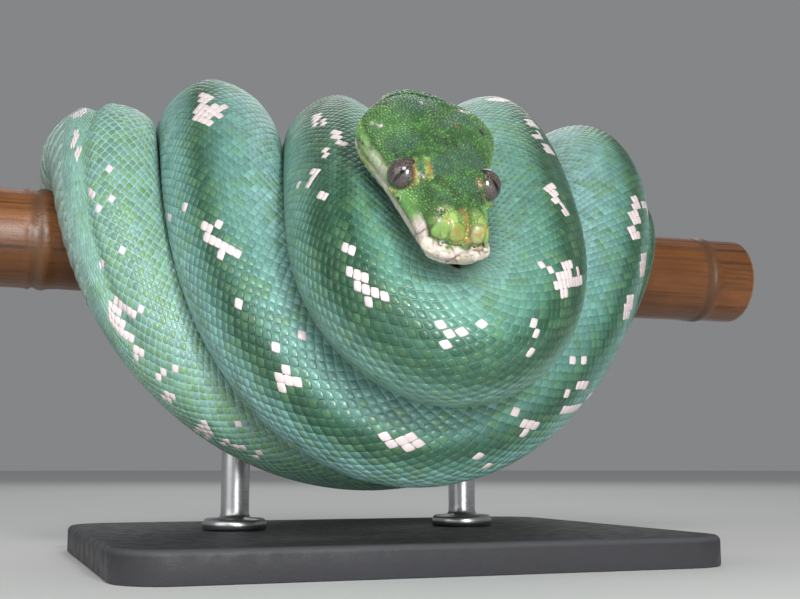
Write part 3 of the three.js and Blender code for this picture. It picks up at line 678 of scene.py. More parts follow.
def head_tint(paint, places, lot):
    """Colours of the head's scales."""
    back, right, up = head_coordinates(places)
    side = np.abs(right - snout_middle(back))
    rise = up - mouth_height(back)
    fine, close, broad = cloud(places, 0.9, 10), cloud(places, 1.8, 11), cloud(places, 5.0, 12)
    light = ease((0.55 * fine + 0.5 * close + 0.5 * lot - 0.62) / 0.42)
    tint = blend(np.broadcast_to(paint["head"], places.shape), paint["head_light"], light)
    bluish = ease((broad - 0.46) / 0.24) * 0.5 * ease((up - 3) / 2)
    tint = blend(tint, 0.42 * np.asarray(paint["back"]), bluish)
    temple = ease((side - 6) / 4) * ease((back - 25) / 6) * ease((up - 2) / 3)
    tint = blend(tint, paint["cheek"], temple * (0.12 + 0.7 * close * broad))
    cheek = ease((6.8 - rise) / 3.6) * ease((side - 4) / 3) * ease((back - 4) / 4)
    tint = blend(tint, paint["cheek"], cheek * (0.45 + 0.4 * broad + 0.3 * close))
    pale = bump(back, 27, 7) * ease((4.4 - rise) / 2) * ease((side - 8) / 2)
    tint = blend(tint, paint["lip"], pale * (0.35 + 0.5 * close))
    lobe = bump(back, 3.0, 3.4) * ease((rise - 4.0) / 0.7) * bump(side, 3.5, 3.2)
    tint = blend(tint, paint["lobe"], lobe * (0.8 + 0.5 * close))
    seam = bump(side, 0, 0.5) * ease((rise - 4.0) / 1.0) * (1 - ease((back - 6.5) / 2))
    rust = bump(np.hypot(back - 16.2, side - 5.4), 0, 1.2) * (lot > 0.6) * (up > 5)
    tint = blend(tint, paint["rust"], np.maximum(seam, rust))
    tint = blend(tint, paint["lip"], ease((3.9 - rise) / 0.5) * (1 - ease((back - 5.5) / 5)))
    tint = blend(tint, paint["jaw"], ease((0.05 - rise) / 0.2))
    hue = np.stack([0.86 + 0.28 * lots(np.round(places * 9), seed) for seed in (6, 7, 8)], -1)
    return tint * hue * (0.8 + 0.4 * lots(np.round(places * 9), 5))[..., None]


# Marks of the head and white scales as strokes on the camera's view of 800 x 599, in pixels: the
# stroke's two ends, or one place for a spot, and its half width.
HEAD_STROKES = {
    "lobe": (
        (447, 217, 451, 226, 3.5), (466, 209, 467, 240, 3), (463, 238, 448, 249, 2.5),
        (488, 226, 477, 240, 2.5), (360, 150, 372, 172, 4), (426, 160, 430, 176, 3.5),
        (415, 160, 417, 182, 2.4),
    ),
    "rust": (
        (427, 161, 431, 174, 1.5), (413, 158, 416, 184, 1.1), (478, 181, 481, 187, 1.7),
        (484, 183, 488, 190, 1.4), (446, 217, 450, 226, 1.1), (449, 214, 456, 230, 0.9),
        (466, 211, 468, 238, 1.1), (456, 230, 464, 240, 0.8), (467, 239, 450, 248, 1),
        (488, 226, 478, 238, 0.9), (469, 239, 476, 248, 1), (441, 180, 446, 184, 0.9),
        (456, 124, 458, 127, 1.1),
    ),
    # white marks; those at 435,218 and 474,229 on the snout's lobes are painted highlights
    "white": (
        (420, 102, 421, 103, 1.4), (371, 122, 382, 126, 1), (458, 110, 469, 113, 1.2),
        (420, 174, 425, 177, 1.2), (477, 183, 482, 186, 0.8), (435, 218, 440, 220, 1.2),
        (474, 229, 479, 235, 0.9), (437, 209, 443, 209, 1),
    ),
    # dark flecks of the crown, and painted shade in the creases, the nostrils, the hollow before the eye
    # and under the snout's lobes
    "fleck_and_shade": (
        (372, 106, 391, 97, 1.7), (384, 104, 392, 101, 1.4), (411, 93, 424, 96, 1),
        (478, 128, 483, 134, 2), (445, 139, 448, 147, 1.7), (452, 139, 457, 146, 1.7),
        (367, 147, 371, 149, 1.5), (478, 194, 483, 202, 2.6), (350, 132, 368, 148, 1.2),
        (432, 243, 448, 248, 1.1), (434, 211, 445, 212, 1.3), (453, 197, 470, 199, 1),
        (436, 178, 446, 184, 0.9), (446, 184, 459, 196, 0.9), (392, 148, 397, 156, 1),
        (448, 248, 466, 240, 0.8), (470, 244, 486, 252, 0.9),
    ),
    # painted shade in the lip's folds
    "crease": (
        (414, 236, 428, 228, 0.9), (431, 245, 441, 235, 0.8), (446, 262, 468, 250, 1),
        (468, 250, 485, 251, 1), (467, 240, 466, 256, 0.8), (478, 242, 480, 258, 0.8),
        (483, 246, 484, 258, 0.8), (455, 247, 449, 254, 0.7),
    ),
}
# Every scale under these is white.
WHITE_STROKES = (
    # the first loop
    (318, 114, 314, 124, 3), (323, 121, 3), (335, 133, 341, 143, 3.5), (325, 152, 4), (316, 172, 3.5),
    (311, 180, 308, 187, 3), (300, 187, 2), (322, 197, 4), (345, 245, 354, 254, 3.5),
    (351, 272, 366, 284, 4.5), (357, 291, 370, 290, 5), (366, 292, 367, 304, 5),
    (372, 286, 385, 298, 3.5), (438, 326, 446, 334, 3.5), (444, 337, 451, 337, 4), (440, 343, 4),
    (463, 332, 484, 332, 2.5), (481, 327, 2), (536, 323, 538, 334, 4), (531, 350, 4), (541, 261, 3),
    (553, 270, 3), (565, 268, 576, 268, 4), (562, 277, 582, 278, 4.5), (559, 287, 574, 284, 4.5),
    (563, 295, 569, 296, 3), (490, 99, 508, 99, 2), (530, 121, 534, 125, 3), (538, 136, 3.5),
    (546, 146, 550, 153, 3), (551, 189, 557, 201, 4), (562, 205, 566, 212, 2.5),
    # the second loop
    (204, 97, 211, 99, 4), (203, 102, 198, 117, 4), (207, 110, 206, 122, 5), (213, 108, 220, 113, 4),
    (225, 108, 3), (184, 204, 2), (170, 217, 2), (217, 223, 4.5), (208, 224, 206, 240, 5),
    (212, 236, 236, 253, 5), (222, 250, 221, 259, 4.5), (236, 301, 3), (299, 336, 4), (275, 351, 5),
    (283, 369, 284, 385, 5), (289, 381, 296, 384, 5), (382, 438, 4), (387, 447, 405, 437, 6),
    (406, 444, 4), (419, 448, 6), (480, 460, 4), (489, 465, 2), (515, 415, 4), (527, 423, 532, 425, 4),
    (525, 432, 4), (573, 364, 3.5), (581, 364, 4), (582, 384, 4.5), (568, 397, 4), (590, 396, 4),
    (564, 409, 583, 406, 3), (634, 199, 636, 208, 3.5), (633, 212, 636, 222, 4), (631, 227, 635, 235, 4),
    (631, 300, 628, 308, 3), (627, 312, 625, 320, 3),
    # the third loop
    (74, 116, 85, 111, 2.5), (77, 131, 73, 145, 2.5), (79, 149, 77, 159, 2.5), (111, 166, 2),
    (91, 194, 3.5), (96, 209, 3.5), (112, 197, 4), (118, 251, 2), (103, 264, 3.5),
    (112, 303, 116, 320, 6), (116, 306, 133, 313, 4), (118, 325, 124, 332, 4.5), (142, 310, 4),
    (131, 341, 6), (138, 354, 5), (162, 375, 5), (176, 369, 4), (168, 396, 6), (205, 427, 209, 436, 5),
    (196, 429, 3), (237, 428, 4), (226, 441, 5), (239, 447, 4), (257, 455, 5),
    # the tail's side
    (644, 203, 651, 213, 3), (646, 260, 645, 272, 5),
)
STROKE_MISS = 5.0         # a stroke with no scale under it takes the nearest within this many pixels
SAME_LIMB = 12.0          # scales this much deeper than a stroke's first one lie on another limb
HIDDEN_GAP = 42.0         # average spacing of the white groups along the sides that the view misses
HIDDEN_SPREAD = 12.0      # how far along the body such a group may lie from its even place
HIDDEN_REACH = 1.5        # white groups lie at most this far round from the ridge
GIRTH = 14.0              # usual radius of the body, which turns angles into lengths
FAR_OFF = 99.0


def camera_axes():
    turn, pitch = CAMERA_TURN, CAMERA_PITCH
    f = np.array((math.cos(pitch) * math.cos(turn), math.cos(pitch) * math.sin(turn), math.sin(pitch)))
    up = np.array((-math.sin(pitch) * math.cos(turn), -math.sin(pitch) * math.sin(turn), math.cos(pitch)))
    return f, np.cross(f, up), up


def seen_from_camera(places):
    f, right, up = camera_axes()
    d = places - CAMERA
    depth = d @ f
    scale = CAMERA_LENS / SENSOR * VIEW_SIZE[0] / depth
    across, down = VIEW_SIZE[0] / 2 + d @ right * scale, VIEW_SIZE[1] / 2 - d @ up * scale
    return np.stack((across, down), -1), depth


def faces_camera(places, normals):
    return ((CAMERA - places) * normals).sum(-1) > 0


def off_stroke(pixels, stroke):
    """How far pixels lie from the middle line of a stroke."""
    a, b = np.array(stroke[:2]), np.array(stroke[-3:-1])
    run = b - a
    share = np.clip((pixels - a) @ run / max(run @ run, 1), 0, 1)
    return np.linalg.norm(pixels - a - share[..., None] * run, axis=-1)


def white_scales(places, normals, angle, s, rng):
    """Marks the scales of the white groups: drawn ones, and seeded ones where the view misses them."""
    pixels, depth = seen_from_camera(places)
    facing = faces_camera(places, normals)
    white = np.zeros(len(places), bool)
    for stroke in WHITE_STROKES:
        off, reach = off_stroke(pixels, stroke), stroke[-1]
        near = np.flatnonzero((off < reach + STROKE_MISS) & facing)
        if len(near):
            near = near[depth[near] < depth[near].min() + SAME_LIMB]
            white[near[off[near] < max(reach, off[near].min() + 0.01)]] = True
    hidden = ~facing & (np.abs(angle) < HIDDEN_REACH)
    at = s.min() + HIDDEN_GAP
    while at < s.max():
        along, turned = at + rng.uniform(-HIDDEN_SPREAD, HIDDEN_SPREAD), rng.normal(0, 0.35)
        count = rng.integers(2, 9)
        off = np.hypot(s - along, (angle - turned) * GIRTH)
        chosen = np.argsort(off + 3.0 * rng.random(len(off)) + FAR_OFF * ~hidden)[:count]
        white[chosen[hidden[chosen]]] = True
        at += HIDDEN_GAP
    return white


# ---- scales ----
OUTLINE_POINTS = 8
INNER_SHARE = 0.76        # the flat top of a scale against its whole
RING_RISES = (0.82, -0.3)  # the top's edge and the sunk rim against the height in the middle
REAR_LIFT = 0.22          # a scale's rear end stands this much higher
USUAL_HALF = 1.7          # half length of a trunk scale of full height
UNEVEN, COVER_RANGE, NET_SHRINK = 0.03, (0.96, 1.03), 0.07
WHITE_GROWTH = 1.12       # white scales meet in patches
DIAMOND_SQUARE = 1.22     # 1 is a plain diamond and 2 an ellipse


def diamond_outline():
    turn = once_round(OUTLINE_POINTS)
    c, d = np.cos(turn), np.sin(turn)
    reach = (np.abs(c) ** DIAMOND_SQUARE + np.abs(d) ** DIAMOND_SQUARE) ** (-1 / DIAMOND_SQUARE)
    return np.column_stack((c * reach, d * reach))


def dome_faces(count, points, rings):
    """Triangles of closed domes: a middle, rings round it, the last one sunk in the skin."""
    k = np.arange(points)
    following = (k + 1) % points
    parts = [np.stack((np.zeros_like(k), 1 + k, 1 + following), 1)]
    for ring in range(rings - 1):
        a, b = 1 + ring * points + k, 1 + ring * points + following
        parts += [np.stack((a, a + points, b + points), 1), np.stack((a, b + points, b), 1)]
    rim = 1 + (rings - 1) * points
    parts.append(np.stack((np.full(points - 2, rim), rim + k[2:], rim + k[1:-1]), 1))
    one = np.vstack(parts)
    return (one[None] + (np.arange(count) * (rings * points + 1))[:, None, None]).reshape(-1, 3)


def patches(roots, offsets):
    """Each scale's patch on the unwrap, round its root; offsets run from -1 to 1."""
    return roots[:, None] + offsets * PATCH_SIZE / 2


def body_lattice(line, start):
    """Staggered places of the scales: s, angle, half length in s, half width in angle."""
    thick = line.points[:, 3]
    neck_end = line.s[np.argmax((thick > NECK_UNTIL) & (line.s > start))]
    later_ends = [line.s[np.flatnonzero(thick > radius)[-1]] for radius in (REAR_UNTIL, HIND_UNTIL)]
    ends = (start, neck_end, FRONT_ENDS, *later_ends, line.length - 1.5)
    rows = []
    for count, first, end in zip(ROW_COUNTS, ends, ends[1:]):
        half_angle = 2 * BELLY_ANGLE / count
        s, step = first, 0
        while s < end:
            half = SCALE_ASPECT * half_angle * float(line.radius(s))
            across = np.arange(-count // 2 + step % 2, count // 2 + 1, 2) * half_angle
            rows.append(np.column_stack(np.broadcast_arrays(s, across, half, half_angle)))
            s += half
            step += 1
    return np.vstack(rows)


def body_scales(skin, paint, settings):
    """Every scale of neck, trunk and tail: places, colours, map, points round one and its rings."""
    line = skin.line
    rng = np.random.default_rng(SEED)
    lattice = body_lattice(line, NECK_ROOT * HEAD_SIZE + COAT_START)
    n = len(lattice)
    s, angle, half_s, half_angle = lattice.T
    s = s + rng.normal(0, UNEVEN, n) * half_s
    angle = angle + rng.normal(0, UNEVEN, n) * half_angle
    column, u = skin.column_at(angle, s), skin.ring_at(s)
    ahead = skin.lay(skin.places, u + 0.5, column) - skin.lay(skin.places, u - 0.5, column)
    stretch = np.linalg.norm(ahead, axis=1) / RING_STEP
    middle, facing = skin.spots(u, column)
    white = white_scales(middle, facing, angle, s, rng)
    cover = settings.cover * (1 - NET_SHRINK * net_share(s, line)) * rng.uniform(*COVER_RANGE, n)
    cover = np.where(white, cover * WHITE_GROWTH, cover)
    long = half_s * cover * np.minimum(1, MOST_STRETCH / stretch)
    wide = half_angle * cover
    outline = diamond_outline()
    offsets = np.vstack((np.zeros((1, 2)), INNER_SHARE * outline, outline))
    at_s = s[:, None] + long[:, None] * offsets[:, 0]
    at_angle = angle[:, None] + wide[:, None] * offsets[:, 1]
    places, normals = skin.spots(skin.ring_at(at_s), skin.column_at(at_angle, at_s))
    dome = settings.dome / MM * (half_s / USUAL_HALF)
    height = dome[:, None] * (np.r_[1.0, np.repeat(RING_RISES, OUTLINE_POINTS)] + REAR_LIFT * offsets[:, 0])
    places = places + normals * height[..., None]
    lot = rng.random(n)
    tint, ground, net = body_tint(paint, middle, angle, s, line, lot)
    tint[white] = np.asarray(paint["white"]) * (0.92 + 0.1 * lot[white])[:, None]
    # the sunk rim: ground with pale net, partly a painted highlight along the scale's edge
    rim = blend(ground, paint["net"], net)
    rim[white] = tint[white] * 0.97
    colours = np.repeat(tint[:, None], len(offsets), axis=1)
    colours[:, 1 + OUTLINE_POINTS:] = rim[:, None]
    uv = patches(skin.unwrap(s, (column / SIDES) % 1.0), offsets)
    return places, colours, uv, OUTLINE_POINTS, len(RING_RISES)


# ---- scales of the head ----
# Large plates of the snout's lobes: radius, then behind the snout, out and up.
NASAL_PLATES = ((2.5, 1.7, 5.5, 5.0), (2.3, 1.2, 2.4, 5.1), (1.2, 3.0, 3.1, 7.5), (1.1, 4.3, 7.2, 5.2),
                (0.7, 5.8, 4.3, 7.9), (0.7, 4.6, 1.7, 7.9))
# Rows of lip plates: height over the mouth, and how each plate's length follows from the last.
LIP_ROWS = {"upper": (1.75, 1.0), "lower": (-1.7, 0.99)}
LIP_FIRST, LIP_LENGTH, LIP_SHORTEST = 1.9, 3.2, 2.4
LIP_SMALLEST, LIP_LARGEST = 0.7, 1.6     # reach of a lip plate close to the eye and away from it
EYE_PLATES, EYE_PLATE_SIZE = 30, 0.4
LIP_BAND = (3.3, 3.7)     # the lip plates' own height under and over the mouth
LIP_BAND_DIP = 1.5        # the band is this much lower beside the eye
LIPS = {"upper": 1, "lower": -1}
MOUTH_GAP = 0.1
GRANULE_TRIES, GRANULE_SIZES = 42000, (1.0, 0.74)      # places tried in each round, and their size
# The two sorts of head scales: points round one, its rings as shares of its reach and height, the
# grid points searched each way for the skin under it, its most growth, and how far its top strays.
HEAD_SORTS = {
    "scales": (8, ((0.62, 0.85), (1.0, -0.4)), 3, 1.6, 0.16),
    "plates": (20, ((0.5, 1.0), (0.8, 0.88), (0.93, 0.55), (1.0, -0.5)), 8, 2.1, 0.05),
}


class Plates:
    """Seeds of the head's scales. Each one grows until it meets its neighbours."""

    def __init__(self, skin):
        self.skin = skin
        self.reach = skin.head_rings + 7
        self.grid = skin.places[:self.reach].reshape(-1, 3)
        self.grid_normals = skin.normals[:self.reach].reshape(-1, 3)
        self.places, self.sizes, self.kinds = [], [], []
        self.ghosts, self.ghost_sizes = [], []

    def nearest(self, q):
        q = np.atleast_2d(q)
        found = np.empty(len(q), int)
        for i in range(0, len(q), 200):
            d = (self.grid**2).sum(1) - 2 * q[i:i + 200] @ self.grid.T
            found[i:i + 200] = d.argmin(1)
        return found

    def settle(self, q):
        """The nearest places on the skin."""
        k = self.nearest(q)
        n = self.grid_normals[k]
        return q - n * ((q - self.grid[k]) * n).sum(1, keepdims=True)

    def put(self, kind, size, place):
        self.places.append(self.settle(np.atleast_2d(place))[0])
        self.sizes.append(size)
        self.kinds.append(kind)

    def ghost(self, size, place):
        """A place that only holds its neighbours back, such as the nostril or the eye."""
        self.ghosts.append(np.array(place))
        self.ghost_sizes.append(size)


def lip_course():
    """The mouth line from the middle of the snout round one side: back and out, by length."""
    back = np.linspace(0, MOUTH_END, 300)
    out = smooth_through(back, HEAD_STATIONS[:, 0], HEAD_STATIONS[:, 1])
    back, out = np.r_[-0.7, -0.5, -0.2, back], np.r_[0.0, 1.6, 3.0, out]
    return run_along(back, out), back, out


def place_plates(skin):
    plates = Plates(skin)
    run, back, out = lip_course()
    # lip plates: one at the snout's tip and a row down each side, above and below the mouth
    for kind, (rise, shorten) in LIP_ROWS.items():
        plates.put(kind, LIP_LARGEST, on_snout(-0.3, 0.0, rise + mouth_height(-0.3)))
        at, step = LIP_FIRST + LIP_LENGTH * 0.5, LIP_LENGTH
        while at < run[-1]:
            b, o = np.interp(at, run, back), np.interp(at, run, out)
            for mirror in (1, -1):
                place = on_snout(b, mirror * o, rise + mouth_height(b))
                from_eye = float(seen_round_eye(place, mirror)[0]) - EYE_OPENING - 0.5
                plates.put(kind, min(max(from_eye, LIP_SMALLEST), LIP_LARGEST), place)
            at += step
            step = max(step * shorten, LIP_SHORTEST)
    for mirror in (1, -1):
        for size, b, o, up in NASAL_PLATES:
            plates.put("nasal", size, on_snout(b, mirror * o, up))
        b, o, up = NOSTRIL
        plates.ghost(0.6, on_snout(b, mirror * o, up))
        # small plates round the eye
        gaze, across, over = eye_axes(mirror)
        centre = on_head(EYE_BACK, mirror * EYE_OUT, EYE_UP)
        rise = math.sqrt(EYE_RADIUS**2 - EYE_OPENING**2)
        for k in range(EYE_PLATES):
            turn = 2 * math.pi * k / EYE_PLATES
            outward = across * math.cos(turn) + over * math.sin(turn)
            plates.put("rim", EYE_PLATE_SIZE, centre + gaze * (rise + 0.2) + outward * (EYE_OPENING + 0.42))
            plates.ghost(EYE_PLATE_SIZE, centre + gaze * rise + outward * (EYE_OPENING - 0.4))
    return plates


def granule_spacing(back, up, s):
    """Distance between the small scales: finest on the crown and snout, coarser down the neck."""
    spacing = 0.62 + 0.12 * ease((back - 24) / 18) + 0.22 * ease((6 - up) / 5) * ease((back - 12) / 12)
    spacing = np.where(up < -3.0, 1.3, spacing)
    return mix(spacing, 1.45, ease((s - 2) / 18))


def sow_granules(plates, rng):
    """Fills the rest of the head with small scales, then the gaps between them with smaller ones."""
    skin = plates.skin
    p = skin.places[:plates.reach]
    area = np.linalg.norm(np.gradient(p, axis=0), axis=2) * np.linalg.norm(np.roll(p, -1, 1) - p, axis=2)
    share = np.cumsum(area[4:-1].ravel())
    held = np.array(plates.places + plates.ghosts)
    n = first = len(held)
    stock = np.empty((n + len(GRANULE_SIZES) * GRANULE_TRIES, 3))
    reach = np.empty(len(stock))
    stock[:n], reach[:n] = held, plates.sizes + plates.ghost_sizes
    for size in GRANULE_SIZES:
        picks = np.searchsorted(share, rng.random(GRANULE_TRIES) * share[-1])
        u = picks // SIDES + 4 + rng.random(GRANULE_TRIES)
        q = skin.lay(skin.places, u, picks % SIDES + rng.random(GRANULE_TRIES))
        back, _, up = head_coordinates(q)
        s = np.interp(u, np.arange(skin.rings), skin.s)
        half = granule_spacing(back, up, s) * size / 2
        open_ground = s < NECK_ROOT * HEAD_SIZE + COAT_START
        for side in (1, -1):
            off, out = seen_round_eye(q, side)
            open_ground &= (off > EYE_OPENING + 0.85) | (out < -1)
        rise = up - mouth_height(back)
        band_top = LIP_BAND[1] - LIP_BAND_DIP * bump(back, 16, 3)
        lips = (rise > -LIP_BAND[0]) & (rise < band_top) & (back < MOUTH_END - 1)
        for k in np.flatnonzero(open_ground & ~lips):
            d = stock[:n] - q[k]
            if ((d * d).sum(1) > ((reach[:n] + half[k]) * 0.93) ** 2).all():
                stock[n], reach[n] = q[k], half[k]
                n += 1
    plates.places += list(stock[first:n])
    plates.sizes += list(reach[first:n])
    plates.kinds += ["granule"] * (n - first)


def grow_plates(plates, chosen, points, most):
    """Outlines of the chosen plates in their own planes, by how far each direction is free."""
    every = np.vstack((plates.places, plates.ghosts))
    every_size = np.r_[plates.sizes, plates.ghost_sizes]
    lips = np.array([LIPS.get(kind, 0) for kind in plates.kinds] + [0] * len(plates.ghosts))
    places, sizes, lip = every[chosen], every_size[chosen], lips[chosen]
    k = plates.nearest(places)
    n = plates.grid_normals[k]
    e1 = unit(-FORWARD - n * (n @ -FORWARD)[:, None])
    e2 = np.cross(n, e1)
    turn = once_round(points)
    rays = np.column_stack((np.cos(turn), np.sin(turn)))
    reach = np.empty((len(places), points))
    for i in range(0, len(places), 200):
        part = slice(i, i + 200)
        far = (every**2).sum(1) - 2 * places[part] @ every.T + (places[part] ** 2).sum(1)[:, None]
        near = np.argpartition(far, 24, axis=1)[:, :24]
        d = every[near] - places[part, None]
        far = (d * d).sum(-1)
        flat = np.stack(((d * e1[part, None]).sum(-1), (d * e2[part, None]).sum(-1)), -1)
        flat *= (np.sqrt(far) / np.maximum(np.linalg.norm(flat, axis=-1), 1e-6))[..., None]
        head_on = flat @ rays.T
        free = (far + sizes[part, None] ** 2 - every_size[near] ** 2)[..., None] / (2 * head_on + 1e-12)
        free[(head_on < 1e-4) | (lip[part, None] * lips[near] == -1)[..., None]] = 9.0
        reach[part] = np.clip(free.min(1), 0.1, sizes[part, None] * most)
    reach = np.minimum(reach, reach.mean(1, keepdims=True) * 1.5)
    # lip plates stop at the mouth
    back, _, up = head_coordinates(places)
    rise = np.abs(up - mouth_height(back))
    towards = -(e1 @ UP[:, None] * rays[:, 0] + e2 @ UP[:, None] * rays[:, 1]) / HEAD_SIZE * lip[:, None]
    stop = np.maximum(rise - MOUTH_GAP, 0.1)[:, None] / np.maximum(towards, 1e-6)
    reach = np.where(towards > 1e-6, np.minimum(reach, stop), reach)
    return places, sizes, k, e1, e2, rays, reach


def rest_on_skin(skin, k, spots, window):
    """Feet and normals of points that come down on the skin round their seed's grid point k."""
    i0, j0 = k // SIDES, k % SIDES
    steps = np.arange(-window, window + 1)
    feet, normals = np.empty_like(spots), np.empty_like(spots)
    for a in range(0, len(k), 300):
        part = slice(a, a + 300)
        ii = np.clip(i0[part, None] + steps, 0, skin.rings - 1)
        jj = (j0[part, None] + steps) % SIDES
        local = skin.places[ii[:, :, None], jj[:, None, :]].reshape(len(ii), -1, 3)
        local_n = skin.normals[ii[:, :, None], jj[:, None, :]].reshape(len(ii), -1, 3)
        d = spots[part, :, None] - local[:, None]
        d = (d * d).sum(-1)
        best = np.argpartition(d, 3, axis=-1)[..., :3]
        weight = 1 / (np.take_along_axis(d, best, -1) + 0.01)
        weight = (weight / weight.sum(-1, keepdims=True))[..., None]
        index = np.arange(len(ii))[:, None, None]
        normal = unit((local_n[index, best] * weight).sum(-2))
        foot = (local[index, best] * weight).sum(-2)
        normals[part] = normal
        feet[part] = spots[part] - normal * ((spots[part] - foot) * normal).sum(-1, keepdims=True)
    return feet, normals


def marked(paint, tint, places, normals):
    """Puts the head's drawn marks on the scales under them, softer towards their edges."""
    pixels, _ = seen_from_camera(places)
    seen = faces_camera(places, normals) & (places @ UP > SNOUT @ UP - 3)
    patchy = 0.2 + 0.75 * ease((cloud(places, 0.8, 13) - 0.36) / 0.26)
    for name, strokes in HEAD_STROKES.items():
        for stroke in strokes:
            strength = patchy * seen * (1 - ease(off_stroke(pixels, stroke) / stroke[-1] - 0.5))
            tint = blend(tint, paint[name], strength)
    return tint


def head_colours(skin, paint, places, k, kind, lot):
    """One colour for each head scale: the head's or the body's markings, with the drawn ones on them."""
    i, j = k // SIDES, k % SIDES
    body, _, _ = body_tint(paint, places, j / SIDES * 2 * math.pi, skin.s[i], skin.line, lot)
    tint = mix(head_tint(paint, places, lot), body, neck_share(skin.s[i])[:, None])
    rusty = (kind == "rim") & (lot > 0.55)
    tint[rusty] = blend(tint[rusty], paint["rust"], np.full(rusty.sum(), 0.6))
    return marked(paint, tint, places, skin.normals.reshape(-1, 3)[k])


def head_scales(skin, paint, settings):
    """The same for the head's small scales and its plates, each with those of the jaw apart."""
    rng = np.random.default_rng(SEED + 1)
    plates = place_plates(skin)
    sow_granules(plates, rng)
    kinds = np.array(plates.kinds)
    small = np.isin(kinds, ("granule", "rim"))
    made = {}
    for name, chosen in (("scales", small), ("plates", ~small)):
        points, rings, window, most, uneven = HEAD_SORTS[name]
        chosen = np.flatnonzero(chosen)
        kind, n = kinds[chosen], len(chosen)
        places, sizes, k, e1, e2, rays, reach = grow_plates(plates, chosen, points, most)
        reach = reach - np.minimum(0.05, 0.1 * sizes)[:, None]
        shares = np.repeat([share for share, _ in rings], points)
        around = np.tile(rays, (len(rings), 1))
        apex = rng.normal(0, uneven, (n, 1, 2)) * sizes[:, None, None]
        flat = np.concatenate((apex, around * (np.tile(reach, (1, len(rings))) * shares)[..., None]), 1)
        spots = places[:, None] + flat[..., :1] * e1[:, None] + flat[..., 1:] * e2[:, None]
        feet, normals = rest_on_skin(skin, k, spots, window)
        normals = unit(0.6 * normals + 0.4 * normals[:, :1])
        lot = rng.random(n)
        dome = 0.32 * sizes * (0.7 + 0.7 * lot) if name == "scales" else 0.05 + 0.04 * sizes
        rise = np.r_[1.0, np.repeat([height for _, height in rings], points)]
        shapes = feet + normals * ((dome * settings.head_dome)[:, None] * rise)[..., None]
        tint = head_colours(skin, paint, places, k, kind, lot)
        colours = np.repeat(tint[:, None], 1 + len(around), axis=1)
        if name == "plates":
            own = head_tint(paint, shapes, np.full(shapes.shape[:2], 0.7))
            colours = marked(paint, mix(colours, own, 0.6), shapes, normals)
        back, _, up = head_coordinates(places)
        # painted shade: the sunk rim of each head scale is darkened towards the groove colour
        groove = np.where(np.isin(kind, tuple(LIPS)), 0.12 + 0.2 * (back < 7), 0.35)
        colours[:, -points:] = blend(colours[:, -points:], paint["groove"], groove[:, None])
        if name == "plates":
            # rust over the two outer rings of the nasal plates, and a darker ring inside the rim as painted
            # shade where the plate's edge turns down
            lobes, outer, inner = kind == "nasal", slice(-2 * points, None), slice(-2 * points, -points)
            share = 0.55 * ease((cloud(shapes[lobes, outer], 2.0, 14) - 0.3) / 0.3)
            colours[lobes, outer] = blend(colours[lobes, outer], paint["rust"], share)
            edge = np.where(lobes, 0.3, 0.25 * (back < 7))
            colours[:, inner] = blend(colours[:, inner], paint["groove"], edge[:, None])
        offsets = np.concatenate((np.zeros((1, 2)), around * shares[:, None]))
        first, last = skin.s[0], skin.s[plates.reach]
        along = (skin.s[k // SIDES] - first) / (last - first)
        uv = patches(np.column_stack((along, k % SIDES / SIDES)) * 0.98 + 0.01, offsets)
        low = up < mouth_height(back)
        made["head_" + name] = (shapes[~low], colours[~low], uv[~low], points, len(rings))
        made["jaw_" + name] = (shapes[low], colours[low], uv[low], points, len(rings))
    return made


PLATE_ROWS, PLATE_COLUMNS = 4, 13        # points along and across a belly plate
PLATE_SPAN = (-0.12, 1.16)               # its front and rear ends, in plates
PLATE_RISES = (-0.06, 0.10, 0.2, 0.3)    # how far each row of its points stands out


